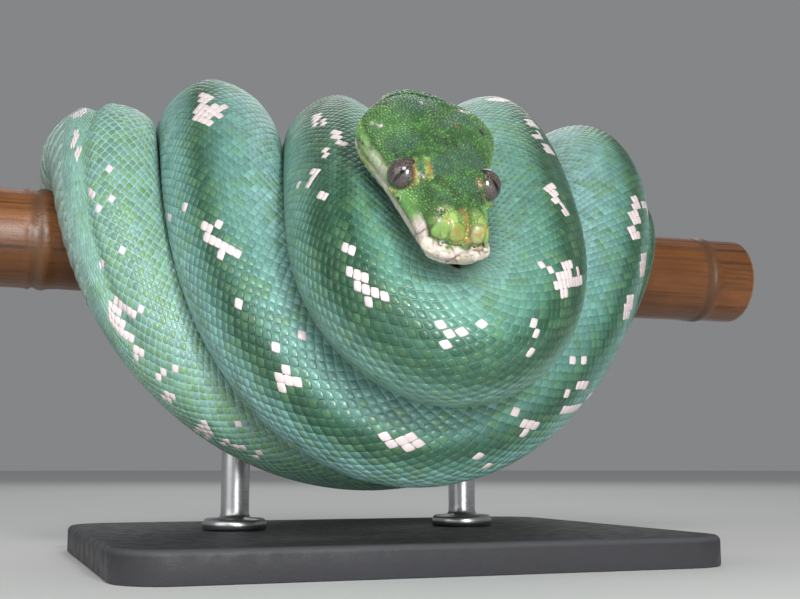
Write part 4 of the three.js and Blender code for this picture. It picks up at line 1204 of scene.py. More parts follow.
def belly_plates(skin, paint):
    """The broad plates under the body, each a thin slab whose rear edge laps over the next."""
    line = skin.line
    at, starts = NECK_ROOT * HEAD_SIZE + COAT_START, []
    while at < line.length - 3:
        length = max(0.36 * float(line.radius(at)), 1.4)
        starts.append((at, length))
        at += length
    s0, length = np.array(starts).T
    a = np.linspace(*PLATE_SPAN, PLATE_ROWS)
    b = np.linspace(-1, 1, PLATE_COLUMNS)
    half = math.pi - BELLY_ANGLE + 0.05
    rounding = 0.28 * np.abs(b) ** 4
    s = s0[:, None, None] + length[:, None, None] * (a[:, None] - np.clip(a, 0, 1)[:, None] * rounding)
    angle = np.broadcast_to(math.pi + half * b, s.shape)
    feet, normals = skin.spots(skin.ring_at(s), skin.column_at(angle, s))
    edge = 1 - 0.7 * np.abs(b) ** 6
    rise = (np.array(PLATE_RISES)[:, None] * edge)[None]
    top = feet + normals * rise[..., None]
    under = feet + normals * (np.minimum(rise, 0.1) - 0.22)[..., None]
    n = len(s0)
    shapes = np.concatenate((top, under), 1).reshape(n, -1, 3)
    _, tint, _ = body_tint(paint, feet, angle, s, line, lots(np.round(feet * 3), 8))
    tint = blend(tint, paint["belly"], (1 - 0.5 * np.abs(b) ** 5) * (1 - 0.9 * fold_share(s, line)))
    tint = tint * (0.9 + 0.1 * a[::-1])[:, None, None]
    colours = np.concatenate((tint, tint), 1).reshape(n, -1, 3)
    at = np.arange(PLATE_ROWS * PLATE_COLUMNS).reshape(PLATE_ROWS, PLATE_COLUMNS)
    rim = np.r_[at[0], at[1:, -1], at[-1, -2::-1], at[-2:0:-1, 0]]
    following = np.roll(rim, -1)
    sheet = grid_faces(PLATE_ROWS, PLATE_COLUMNS, False)
    sides = np.column_stack((following, rim, rim + at.size, following + at.size))
    faces = np.vstack((sheet, sheet[:, ::-1] + at.size, sides))
    quads = (faces[None] + (np.arange(n) * shapes.shape[1])[:, None, None]).reshape(-1, 4)
    offsets = np.stack(np.meshgrid(np.linspace(-1, 1, PLATE_ROWS), b, indexing="ij"), -1).reshape(-1, 2)
    uv = patches(skin.unwrap(s0 + length / 2, np.full(n, 0.5)), np.vstack((offsets, offsets)))
    return shapes, colours, uv, quads


# ---- meshes ----
def settings():
    return bpy.context.scene.tree_python_sizes


def paints():
    colours = bpy.context.scene.tree_python_colours
    return {name: np.array(getattr(colours, name)) for name in TreePythonColours.__annotations__}


def lifted(places):
    """From millimetres round the perch's middle to metres above the floor."""
    return (places + (0, 0, PERCH_HEIGHT)) * MM


def add_object(name, data):
    thing = bpy.data.objects.new(name, data)
    bpy.context.scene.collection.objects.link(thing)
    return thing


def stand_at(thing, right, up, back, place):
    """Puts an object at a place in metres, with its axes along the three directions."""
    axes = np.column_stack((right, up, back, place))
    thing.matrix_world = Matrix(np.vstack((axes, (0, 0, 0, 1))).tolist())


def mesh_piece(name, places, faces, material, slot, colours=None, uv=None):
    """An object from arrays: its vertices, faces of one size, vertex colours and map."""
    mesh = bpy.data.meshes.new(name)
    count, corners = faces.shape
    mesh.vertices.add(places.size // 3)
    mesh.vertices.foreach_set("co", np.ascontiguousarray(places, np.float32).ravel())
    mesh.loops.add(count * corners)
    mesh.loops.foreach_set("vertex_index", np.ascontiguousarray(faces, np.int32).ravel())
    mesh.polygons.add(count)
    mesh.polygons.foreach_set("loop_start", np.arange(count, dtype=np.int32) * corners)
    mesh.polygons.foreach_set("use_smooth", np.ones(count, bool))
    if colours is not None:
        rgba = np.ones((places.size // 3, 4), np.float32)
        rgba[:, :3] = colours.reshape(-1, 3)
        tint = mesh.attributes.new("Tint", "FLOAT_COLOR", "POINT")
        tint.data.foreach_set("color", rgba.ravel())
    if uv is not None:
        corner_uv = uv.reshape(-1, 2)[faces.ravel()].astype(np.float32)
        mesh.uv_layers.new(name="OFBake").data.foreach_set("uv", corner_uv.ravel())
    mesh.update(calc_edges=True)
    mesh.materials.append(material)
    piece = add_object(name, mesh)
    if slot:
        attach(piece, "root")
    return piece


def grid_faces(rows, columns, closed=True):
    """Quads of a grid of points, closed round its columns or open."""
    at = np.arange(rows * columns).reshape(rows, columns)
    right = np.roll(at, -1, axis=1)
    quads = np.stack((at[:-1], right[:-1], right[1:], at[1:]), -1)
    return (quads if closed else quads[:, :-1]).reshape(-1, 4)


def coat_pieces(name, shapes, colours, uv, points, rings, material, slot):
    """Joined meshes of at most COAT_PIECE scales each."""
    for k, first in enumerate(range(0, len(shapes), COAT_PIECE)):
        part = slice(first, first + COAT_PIECE)
        faces = dome_faces(len(shapes[part]), points, rings)
        mesh_piece(f"{name}_{k + 1}", lifted(shapes[part]), faces, material, slot, colours[part], uv[part])


# ---- shader groups and materials ----
class Board:
    """A node tree with short ways to add and join its nodes."""

    def __init__(self, tree, shader=None):
        self.tree, self.shader = tree, shader

    def feed(self, socket, value):
        """Joins an output to a socket, or sets the socket to a number, colour or vector."""
        if isinstance(value, bpy.types.NodeSocket):
            self.tree.links.new(value, socket)
        elif socket.type == "RGBA" and len(value) == 3:
            socket.default_value = (*value, 1)
        else:
            socket.default_value = value

    def add(self, kind, inputs=(), **values):
        """A new node with its values; inputs go by the names or numbers of its sockets."""
        node = self.tree.nodes.new(kind)
        for name, value in values.items():
            setattr(node, name, value)
        for key, value in dict(inputs).items():
            self.feed(node.inputs[key], value)
        return node

    def math(self, operation, *values):
        return self.add("ShaderNodeMath", enumerate(values), operation=operation).outputs[0]

    def noise(self, vector, scale, detail=3.0, roughness=0.55):
        inputs = {"Vector": vector, "Scale": scale, "Detail": detail, "Roughness": roughness}
        return self.add("ShaderNodeTexNoise", inputs).outputs["Fac"]

    def stretched_noise(self, scales, detail=3.0, roughness=0.55):
        """Noise drawn out along the axes: `scales` is how fine it is along each."""
        inputs = enumerate((self.place(), scales))
        stretched = self.add("ShaderNodeVectorMath", inputs, operation="MULTIPLY").outputs[0]
        return self.noise(stretched, 1.0, detail, roughness)

    def ramp(self, value, stops):
        node = self.add("ShaderNodeValToRGB", {0: value})
        elements = node.color_ramp.elements
        while len(elements) < len(stops):
            elements.new(0.5)
        for element, (at, colour) in zip(elements, stops):
            element.position, element.color = at, (*colour, 1)
        return node.outputs[0]

    def spread(self, value, low, high, to_low=0.0, to_high=1.0):
        inputs = {"Value": value, "From Min": low, "From Max": high, "To Min": to_low, "To Max": to_high}
        return self.add("ShaderNodeMapRange", inputs, interpolation_type="SMOOTHSTEP").outputs[0]

    def blend(self, share, a, b):
        return self.add("ShaderNodeMix", {0: share, 6: a, 7: b}, data_type="RGBA").outputs[2]

    def place(self):
        return self.add("ShaderNodeTexCoord").outputs["Object"]

    def tint(self):
        """The colours that the mesh carries."""
        return self.add("ShaderNodeAttribute", attribute_name="Tint").outputs

    def toned(self, colour, size, amount):
        inputs = {"Colour": colour, "Size": size, "Amount": amount}
        return self.add("ShaderNodeGroup", inputs, node_tree=cloudy_tone()).outputs["Colour"]

    def grain(self, size):
        outputs = self.add("ShaderNodeGroup", {"Size": size}, node_tree=fine_grain()).outputs
        return outputs["Height"], outputs["Mask"]

    def finish(self, colour, roughness, height, strength, distance):
        """Gives the shader its colour, its roughness and the bump of a height."""
        inputs = {"Strength": strength, "Distance": distance, "Height": height}
        normal = self.add("ShaderNodeBump", inputs).outputs[0]
        for name, value in (("Base Color", colour), ("Roughness", roughness), ("Normal", normal)):
            self.feed(self.shader.inputs[name], value)


def shader_group(name, inputs, outputs):
    """A new node group: its board, what comes in and where its results go."""
    tree = bpy.data.node_groups.new(name, "ShaderNodeTree")
    for way, sockets in (("INPUT", inputs), ("OUTPUT", dict.fromkeys(outputs))):
        for title, value in sockets.items():
            kind = "NodeSocketColor" if title == "Colour" else "NodeSocketFloat"
            socket = tree.interface.new_socket(name=title, in_out=way, socket_type=kind)
            if value is not None:
                socket.default_value = value
    board = Board(tree)
    return board, board.add("NodeGroupInput").outputs, board.add("NodeGroupOutput").inputs


def cloudy_tone():
    """Soft changes of brightness over a surface."""
    if "Cloudy tone" in bpy.data.node_groups:
        return bpy.data.node_groups["Cloudy tone"]
    inputs = {"Colour": None, "Size": 120.0, "Amount": 0.2}
    board, given, out = shader_group("Cloudy tone", inputs, ("Colour",))
    centred = board.math("SUBTRACT", board.noise(board.place(), given["Size"], 5.0), 0.5)
    factor = board.math("MULTIPLY_ADD", centred, given["Amount"], 1.0)
    scaled = board.add("ShaderNodeVectorMath", {0: given["Colour"], "Scale": factor}, operation="SCALE")
    board.feed(out["Colour"], scaled.outputs[0])
    return board.tree


def fine_grain():
    """Small even roughness of a surface, as a height and as a mask."""
    if "Fine grain" in bpy.data.node_groups:
        return bpy.data.node_groups["Fine grain"]
    board, given, out = shader_group("Fine grain", {"Size": 900.0}, ("Height", "Mask"))
    place = board.place()
    fine = board.noise(place, given["Size"], 4.0, 0.6)
    broad = board.noise(place, board.math("MULTIPLY", given["Size"], 0.13), 2.0)
    board.feed(out["Height"], board.math("ADD", fine, broad))
    board.feed(out["Mask"], board.spread(broad, 0.35, 0.65))
    return board.tree


def new_material(name, **slot_values):
    """A material with its shader; the values given are the same all over the surface."""
    material = bpy.data.materials.new(name)
    material.use_nodes = True
    shader = material.node_tree.nodes["Principled BSDF"]
    for title, value in slot_values.items():
        shader.inputs[SLOTS[title]].default_value = value
    return material, Board(material.node_tree, shader)


def colour_of(name, share=1.0):
    """One of the colours from the settings, made darker or lighter."""
    return tuple(share * v for v in getattr(bpy.context.scene.tree_python_colours, name))


EYE_RIM, PUPIL_BLACK = (0.006, 0.005, 0.004), (0.002, 0.002, 0.002)
SLOTS = {"roughness": "Roughness", "specular": "Specular IOR Level", "coat": "Coat Weight",
         "coat_roughness": "Coat Roughness", "metallic": "Metallic"}
# Skin and scales: values for the shader, roughness, changes of tone, size of the grain and relief.
TINTED = {
    "bare skin": (dict(specular=0.35), 0.52, 0.15, 2600.0, 0.3),
    "body scales": (dict(specular=0.5, coat=0.22, coat_roughness=0.16), 0.34, 0.12, 1500.0, 0.12),
    "head scales": (dict(specular=0.5, coat=0.4, coat_roughness=0.12), 0.3, 0.12, 1500.0, 0.12),
    "belly plates": (dict(specular=0.5, coat=0.2, coat_roughness=0.2), 0.3, 0.12, 1500.0, 0.12),
}


def tinted_material(name):
    """Skin, scales and plates: their own colours with soft changes, fine grain and patchy gloss."""
    if name in bpy.data.materials:
        return bpy.data.materials[name]
    values, roughness, tone, grain, relief = TINTED[name]
    material, board = new_material(name, **values)
    height, mask = board.grain(grain)
    patchy = board.spread(mask, 0, 1, roughness - 0.06, roughness + 0.08)
    board.finish(board.toned(board.tint()["Color"], 260.0, tone), patchy, height, relief, 0.0002)
    return material


def eye_material():
    if "python eye" in bpy.data.materials:
        return bpy.data.materials["python eye"]
    material, board = new_material("python eye", roughness=0.2, coat=1.0, coat_roughness=0.02, specular=0.5)
    _, across, up = board.add("ShaderNodeSeparateXYZ", {0: board.place()}).outputs
    wobble = board.stretched_noise((300, 300, 300), 2.0)
    # the slit: a narrow leaf, up and down in the eye's own frame
    reach = board.math("DIVIDE", up, PUPIL_HALF_HEIGHT * MM)
    width = board.math("SUBTRACT", 1.0, board.math("POWER", board.math("ABSOLUTE", reach), 2.0))
    half = board.math("MULTIPLY", board.math("MAXIMUM", width, 0.0), PUPIL_HALF_WIDTH * MM)
    out = board.math("SUBTRACT", board.math("ABSOLUTE", across), half)
    slit = board.spread(out, -0.00006, 0.00008)
    # fine veins that run out from the slit over the iris
    turned = board.math("ARCTAN2", up, across)
    from_middle = board.math("SQRT", board.math("ADD", board.math("MULTIPLY", up, up),
                                                board.math("MULTIPLY", across, across)))
    course = (board.math("MULTIPLY", turned, 3.4), board.math("MULTIPLY", from_middle, 2300.0),
              board.math("MULTIPLY", wobble, 0.9))
    polar = board.add("ShaderNodeCombineXYZ", enumerate(course)).outputs[0]
    cells = board.add("ShaderNodeTexVoronoi", {"Vector": polar, "Scale": 1.5}, feature="DISTANCE_TO_EDGE")
    veins = board.spread(cells.outputs["Distance"], 0.02, 0.13)
    ground = board.blend(wobble, colour_of("iris", 0.7), colour_of("iris", 1.35))
    mottled = board.blend(veins, colour_of("iris_vein"), ground)
    rimmed = board.blend(board.spread(from_middle, 0.0032, 0.0036), mottled, EYE_RIM)
    board.feed(board.shader.inputs["Base Color"], board.blend(slit, PUPIL_BLACK, rimmed))
    return material


def cane_material():
    material, board = new_material("cane", specular=0.45, coat=0.15, coat_roughness=0.3)
    long_grain = board.stretched_noise((9, 420, 420), 4.0, 0.6)
    fine_lines = board.stretched_noise((30, 1500, 1500), 2.0)
    patches = board.stretched_noise((28, 70, 70), 4.0)
    rind = board.ramp(patches, ((0.3, colour_of("cane", 0.62)), (0.52, colour_of("cane")),
                                (0.75, colour_of("cane", 1.5))))
    lined = board.blend(board.spread(long_grain, 0.5, 0.72), rind, colour_of("cane_streak"))
    lines = board.spread(fine_lines, 0.45, 0.75, 0.0, 0.5)
    lined = board.blend(lines, lined, colour_of("cane_streak", 0.6))
    joint, cut, hollow = board.add("ShaderNodeSeparateColor", {0: board.tint()["Color"]}).outputs
    surface = board.blend(joint, lined, colour_of("cane_node"))
    surface = board.blend(cut, surface, colour_of("cane_cut"))
    # painted shade: the hollow inside each end is near black
    surface = board.blend(hollow, surface, colour_of("cane_node", 0.5))
    height, _ = board.grain(1200.0)
    height = board.math("MULTIPLY_ADD", fine_lines, 0.8, height)
    gloss = board.spread(long_grain, 0.3, 0.7, 0.3, 0.5)
    board.finish(board.toned(surface, 60.0, 0.5), gloss, height, 0.25, 0.0004)
    return material


def base_material():
    """Matt paint, rubbed paler along the edges."""
    material, board = new_material("base paint", specular=0.4)
    toned = board.toned(colour_of("base_paint"), 35.0, 0.5)
    worn = board.blend(board.tint()["Fac"], toned, colour_of("base_paint", 2.2))
    height, mask = board.grain(1800.0)
    board.finish(worn, board.spread(mask, 0, 1, 0.48, 0.62), height, 0.35, 0.0003)
    return material


def steel_material():
    if "brushed steel" in bpy.data.materials:
        return bpy.data.materials["brushed steel"]
    material, board = new_material("brushed steel", metallic=1.0)
    brushed = board.stretched_noise((60, 60, 9000), 2.0)
    steel = board.toned(colour_of("steel"), 90.0, 0.25)
    board.finish(steel, board.spread(brushed, 0.3, 0.7, 0.26, 0.42), brushed, 0.1, 0.0001)
    return material


# ---- cane and stand ----
CANE_STEP, CANE_SIDES = 1.2, 96
# The swellings and dents of a cane's joint: height, place along the cane and spread.
JOINT_SHAPE = ((0.55, 1.6, 1.5), (0.35, -1.9, 0.8), (-0.45, -0.4, 0.55), (-0.12, 6, 4))
CANE_WALL, CANE_HOLLOW = 3.6, 12.0
BASE_SIZE, BASE_MIDDLE = (160.0, 130.0, 8.0), (-12.0, -8.0)
BASE_CORNER, BASE_ROUND, BASE_CORNER_STEPS = 14.0, 1.6, 14
ROD_AT, ROD_RADIUS, ROD_SIDES = (-50.0, 20.0), 4.0, 48
COLLAR = ((9.0, 0.0), (9.0, 1.9), (8.6, 2.6), (8.0, 3.0))


def node_ridge(x, joint):
    """Height of a cane joint's ridge and scar at x."""
    return sum(height * bump(x - joint, at, spread) for height, at, spread in JOINT_SHAPE)


def cane():
    """Cane perch: rind with ridged joints, cut ends and the hollow inside each end."""
    low, high = PERCH_ENDS
    x = np.arange(low + 0.4, high - 0.2, CANE_STEP)
    ridge = sum(node_ridge(x, joint) for joint in PERCH_JOINTS)
    at_node = sum(bump(x, joint, 2.2) for joint in PERCH_JOINTS)
    radius = PERCH_RADIUS - 0.35 + np.clip(ridge, -0.5, 0.5)
    bore = PERCH_RADIUS - CANE_WALL
    # each row: place along the cane, radius, then how much it is joint, cut end and hollow, the last
    # painted dark as shade
    rows = [(low + CANE_HOLLOW, 0.05, 0, 0, 1), (low + CANE_HOLLOW, bore * 0.6, 0, 0, 1),
            (low + CANE_HOLLOW - 0.6, bore, 0, 0, 1), (low + CANE_HOLLOW * 0.5, bore, 0, 0, 1),
            (low + 0.5, bore, 0, 0.7, 0.3), (low, bore + 0.4, 0, 1, 0),
            (low, PERCH_RADIUS - 2.2, 0, 1, 0), (low, PERCH_RADIUS - 0.9, 0, 1, 0),
            (low + 0.1, PERCH_RADIUS - 0.5, 0, 0.6, 0)]
    outer = list(zip(x, radius, at_node, np.zeros_like(x), np.zeros_like(x)))
    end = [(high - (row[0] - low), *row[1:]) for row in rows[::-1]]
    profile = np.array(rows + outer + end)
    turn = once_round(CANE_SIDES)
    px, pr = profile[:, :1], profile[:, 1:2]
    oval = 1 + 0.006 * np.cos(2 * turn + px / 60) + 0.003 * np.cos(3 * turn + 1 + px / 25)
    spread = pr * oval
    places = np.stack((px + 0 * turn, spread * np.sin(turn), spread * np.cos(turn)), -1)
    marks = np.repeat(profile[:, None, 2:], CANE_SIDES, axis=1)
    return places, grid_faces(len(profile), CANE_SIDES), np.clip(marks, 0, 1)


def base_plate():
    """Base with rounded corners and a small round along its edges."""
    length, depth, height = BASE_SIZE
    quarter = np.linspace(0, math.pi / 2, BASE_CORNER_STEPS)
    centres, outward = [], []
    for k, corner in enumerate(((1, 1), (-1, 1), (-1, -1), (1, -1))):
        turn = quarter + k * math.pi / 2
        centre = np.array(corner) * (length / 2 - BASE_CORNER, depth / 2 - BASE_CORNER)
        centres.append(np.tile(centre, (BASE_CORNER_STEPS, 1)))
        outward.append(np.column_stack((np.cos(turn), np.sin(turn))))
    centres, outward = np.vstack(centres), np.vstack(outward)
    # each row: how far the outline is drawn in, its height and how worn it is
    top_edge = [(BASE_ROUND * (1 - math.cos(t)), height - BASE_ROUND * (1 - math.sin(t)), math.sin(2 * t))
                for t in np.linspace(0, math.pi / 2, 6)]
    profile = [(BASE_CORNER * 0.9, 0.0, 0), (0.4, 0.0, 0.2), (0.0, 0.4, 0.4), *top_edge,
               (BASE_CORNER * 0.9, height, 0)]
    outlines = [centres * 0.02, *(centres + outward * (BASE_CORNER - inset) for inset, _, _ in profile),
                centres * 0.02]
    heights, wear = np.array([(0.0, 0), *(row[1:] for row in profile), (height, 0)]).T
    count = len(centres)
    levels = np.repeat(heights[:, None, None], count, axis=1)
    places = np.concatenate((outlines, levels), -1) + (*BASE_MIDDLE, -PERCH_HEIGHT)
    wear = np.broadcast_to(wear[:, None, None], places.shape)
    return places, grid_faces(len(heights), count), wear


def stand_rod(x):
    """Rod on a turned foot, with its top hollowed to the cane's round."""
    top = PERCH_HEIGHT - PERCH_RADIUS - 0.3
    foot = BASE_SIZE[2] + 0.3
    profile = [(0.2, foot), *((r, foot + z) for r, z in COLLAR), (ROD_RADIUS + 0.5, foot + 3.2),
               (ROD_RADIUS, foot + 4.2)]
    profile += [(ROD_RADIUS, z) for z in np.linspace(foot + 6, top - 3, 12)]
    turn = once_round(ROD_SIDES)
    rings = [np.column_stack((x + r * np.cos(turn), r * np.sin(turn), np.full(ROD_SIDES, z)))
             for r, z in profile]
    for share in (1.0, 0.97, 0.8, 0.55, 0.3, 0.03):
        y = share * ROD_RADIUS * np.sin(turn)
        saddle = PERCH_HEIGHT - np.sqrt((PERCH_RADIUS + 0.3) ** 2 - y**2) - (0.25 if share == 1.0 else 0)
        rings.append(np.column_stack((x + share * ROD_RADIUS * np.cos(turn), y, saddle)))
    return np.array(rings) - (0, 0, PERCH_HEIGHT), grid_faces(len(rings), ROD_SIDES)


# ---- operators ----
FLESH = ("head", "lower_jaw", "neck", *(f"trunk_{k:02d}" for k in range(1, 13)), "tail")
SKINS = {}


def animal_skin():
    """The skin, worked out once for every piece that lies on it."""
    depth = settings().coat_depth / MM
    if depth not in SKINS:
        SKINS[depth] = Skin(depth)
    return SKINS[depth]


def skin_colours(skin, paint):
    """The scales' markings on the skin between them, paler where the net shows, and lightened all over as
    painted light against the shade in the gaps.
    """
    line = skin.line
    s = np.repeat(skin.s[:, None], SIDES, axis=1)
    turned = np.broadcast_to(once_round(SIDES), s.shape)
    lot = np.full(s.shape, 0.5)
    _, tint, net = body_tint(paint, skin.places, turned, s, line, lot)
    # painted light: the factor 1.08 brightens the skin in the shaded gaps between the scales
    tint = blend(tint, paint["net"], net) * 1.08
    back, _, up = head_coordinates(skin.places)
    lips = ease((4.0 - np.abs(up - mouth_height(back))) / 0.5)
    # painted shade: the head's skin between its scales darkened towards the groove colour, less on the lips
    head = blend(head_tint(paint, skin.places, lot), paint["groove"], 0.5 - 0.35 * lips)
    tint = mix(head, tint, neck_share(skin.s)[:, None, None])
    n = skin.head_rings
    tint[:n] = marked(paint, tint[:n], skin.places[:n], skin.normals[:n])
    return tint


class TREE_PYTHON_OT_skin(bpy.types.Operator):
    """Make the animal's whole skin, without a seam, inside its scales"""
    bl_idname = "tree_python.skin"
    bl_label = "Skin"

    def execute(self, context):
        skin = animal_skin()
        places = np.vstack((skin.places.reshape(-1, 3), skin.places[0].mean(0), skin.places[-1].mean(0)))
        quads = grid_faces(skin.rings, SIDES)
        # the two ends are closed with triangles to a point in their middle
        snout, tip = len(places) - 2, len(places) - 1
        k = np.arange(SIDES)
        following = (k + 1) % SIDES
        last_ring = (skin.rings - 1) * SIDES
        start = np.column_stack((np.full(SIDES, snout), following, k))
        finish = np.column_stack((np.full(SIDES, tip), last_ring + k, last_ring + following))
        triangles = np.vstack((quads[:, [0, 1, 2]], quads[:, [0, 2, 3]], start, finish))[:, ::-1]
        tint = skin_colours(skin, paints()).reshape(-1, 3)
        colours = np.vstack((tint, tint[0], tint[-1]))
        s = np.repeat(skin.s, SIDES)
        uv = skin.unwrap(np.r_[s, skin.s[0], skin.s[-1]], np.r_[np.tile(k / SIDES, skin.rings), 0, 0])
        material = tinted_material("bare skin")
        piece = mesh_piece("skin", lifted(places), triangles, material, "body_skin", colours, uv)
        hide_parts(*FLESH)
        return {"FINISHED"}


class TREE_PYTHON_OT_body_scales(bpy.types.Operator):
    """Lay the scales of neck, trunk and tail"""
    bl_idname = "tree_python.body_scales"
    bl_label = "Body scales"

    def execute(self, context):
        arrays = body_scales(animal_skin(), paints(), settings())
        coat_pieces("body_scales", *arrays, tinted_material("body scales"), "body_skin")
        return {"FINISHED"}


class TREE_PYTHON_OT_head_scales(bpy.types.Operator):
    """Lay the lip plates, nasal plates and small scales of the head"""
    bl_idname = "tree_python.head_scales"
    bl_label = "Head scales"

    def execute(self, context):
        for name, arrays in head_scales(animal_skin(), paints(), settings()).items():
            slot = "jaw_skin" if name.startswith("jaw") else "head_skin"
            coat_pieces(name, *arrays, tinted_material("head scales"), slot)
        return {"FINISHED"}


class TREE_PYTHON_OT_belly_plates(bpy.types.Operator):
    """Lay the broad plates under the body"""
    bl_idname = "tree_python.belly_plates"
    bl_label = "Belly plates"

    def execute(self, context):
        shapes, colours, uv, quads = belly_plates(animal_skin(), paints())
        material = tinted_material("belly plates")
        mesh_piece("belly_plates", lifted(shapes), quads, material, "body_skin", colours, uv)
        return {"FINISHED"}


class TREE_PYTHON_OT_eyes(bpy.types.Operator):
    """Set the two eyes in their sockets"""
    bl_idname = "tree_python.eyes"
    bl_label = "Eyes"

    def execute(self, context):
        turn = once_round(EYE_COLUMNS)
        polar = np.linspace(0.004, math.pi - 0.004, EYE_ROWS)
        # the clear front stands out a little from the ball
        radius = (EYE_RADIUS - 0.1) * (1 + 0.03 * bump(polar, 0, 0.8))
        out, flat = (radius * np.cos(polar))[:, None], (radius * np.sin(polar))[:, None]
        ball = np.stack((out + 0 * turn, flat * np.cos(turn), flat * np.sin(turn)), -1)
        for side, node in ((1, "eye_right"), (-1, "eye_left")):
            piece = mesh_piece(node.replace("_", "_ball_"), ball * MM, grid_faces(EYE_ROWS, EYE_COLUMNS),
                               eye_material(), "eye")
            centre = lifted(on_head(EYE_BACK, side * EYE_OUT, EYE_UP))
            stand_at(piece, *eye_axes(side, PUPIL_AIM), centre)
            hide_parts(node)
        return {"FINISHED"}


class TREE_PYTHON_OT_cane(bpy.types.Operator):
    """Make the short length of bamboo cane"""
    bl_idname = "tree_python.cane"
    bl_label = "Cane perch"

    def execute(self, context):
        places, faces, marks = cane()
        piece = mesh_piece("cane", lifted(places), faces, cane_material(), "bamboo", marks)
        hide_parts("perch")
        return {"FINISHED"}


class TREE_PYTHON_OT_stand(bpy.types.Operator):
    """Make the display stand's base and its two rods"""
    bl_idname = "tree_python.stand"
    bl_label = "Display stand"

    def execute(self, context):
        places, faces, wear = base_plate()
        piece = mesh_piece("stand_base_painted", lifted(places), faces, base_material(), "stand_base", wear)
        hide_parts("stand_base")
        for x, node in zip(ROD_AT, ("stand_rod_left", "stand_rod_right")):
            places, faces = stand_rod(x)
            piece = mesh_piece(node + "_turned", lifted(places), faces, steel_material(), "stand_rod")
            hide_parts(node)
        return {"FINISHED"}


class TREE_PYTHON_OT_stage(bpy.types.Operator):
    """Set the pale floor, the soft lights and the camera"""
    bl_idname = "tree_python.stage"
    bl_label = "Floor, lights and camera"

    def execute(self, context):
        scene = context.scene
        pale_floor()
        world = bpy.data.worlds.new("studio")
        world.use_nodes = True
        background = world.node_tree.nodes["Background"]
        for socket, value in zip(background.inputs, STUDIO_LIGHT):
            socket.default_value = value
        scene.world = world
        for name, kind, place, aim, size, power in LIGHTS:
            soft_light(name, kind, place, aim, size, power)
        f, right, up = camera_axes()
        data = bpy.data.cameras.new("camera")
        data.lens = CAMERA_LENS
        data.sensor_width = SENSOR
        data.clip_start = 0.01
        scene.camera = add_object("camera", data)
        stand_at(scene.camera, right, up, -f, lifted(CAMERA))
        scene.view_settings.view_transform = "Standard"
        scene.view_settings.look = "None"
        return {"FINISHED"}


FLOOR_RINGS, FLOOR_SIDES = (0.02, 0.3, 0.6, 1.2, 2.5, 5.0), 64      # in metres
FLOOR_TONE = (0.72, 0.72, 0.71)
STUDIO_LIGHT = ((0.86, 0.88, 0.9, 1), 0.27)      # colour and strength of the light from all round
# Area lights: name, shape, place and aim in metres, size and power.
LIGHTS = (
    ("key", "SQUARE", (-0.38, -1.0, 0.66), (-0.04, -0.03, 0.08), 0.4, 5.8),
    ("fill", "SQUARE", (-1.0, -0.5, 0.4), (-0.04, -0.03, 0.07), 0.8, 3.0),
    ("low", "SQUARE", (-0.05, -0.9, 0.09), (-0.01, -0.05, 0.04), 0.22, 2.2),
    ("glint", "DISK", (-0.04, -0.5, 0.17), (-0.03, -0.06, 0.07), 0.05, 1.0),
    ("rim", "SQUARE", (0.3, 0.9, 0.9), (0.0, 0.0, 0.08), 0.8, 3.0),
)


def soft_light(name, kind, place, aim, size, power):
    data = bpy.data.lights.new(name, "AREA")
    data.shape = kind
    data.size = size
    data.energy = power
    back = unit(np.array(place) - np.array(aim))
    right = unit(np.cross((0, 0, 1), back))
    stand_at(add_object(name, data), right, np.cross(back, right), back, place)


def pale_floor():
    """A wide pale floor, a little uneven in tone."""
    turn = once_round(FLOOR_SIDES)
    rows = np.array(FLOOR_RINGS)[:, None]
    places = np.stack((rows * np.cos(turn), rows * np.sin(turn), 0 * rows * turn), -1)
    material, board = new_material("floor", roughness=0.7, specular=0.25)
    board.feed(board.shader.inputs["Base Color"], board.toned(FLOOR_TONE, 6.0, 0.06))
    mesh_piece("floor", places, grid_faces(len(rows), FLOOR_SIDES), material, None)


# ---- settings ----
def colour(title, description, default):
    return bpy.props.FloatVectorProperty(name=title, description=description, default=default,
                                         subtype="COLOR", min=0, max=1)


class TreePythonSizes(bpy.types.PropertyGroup):
    coat_depth: bpy.props.FloatProperty(
        name="Coat depth", description="How far the skin lies inside the animal's outline",
        default=0.00045, min=0.0001, max=0.001, unit="LENGTH")
    dome: bpy.props.FloatProperty(
        name="Scale height", description="How far a trunk scale rises over the skin",
        default=0.00015, min=0.0, max=0.001, unit="LENGTH")
    cover: bpy.props.FloatProperty(
        name="Scale cover", description="Size of the body's scales against their spacing",
        default=0.95, min=0.6, max=1.0, subtype="FACTOR")
    head_dome: bpy.props.FloatProperty(
        name="Head scale height", description="Height of the head's scales against their usual one",
        default=0.8, min=0.0, max=2.0, subtype="FACTOR")


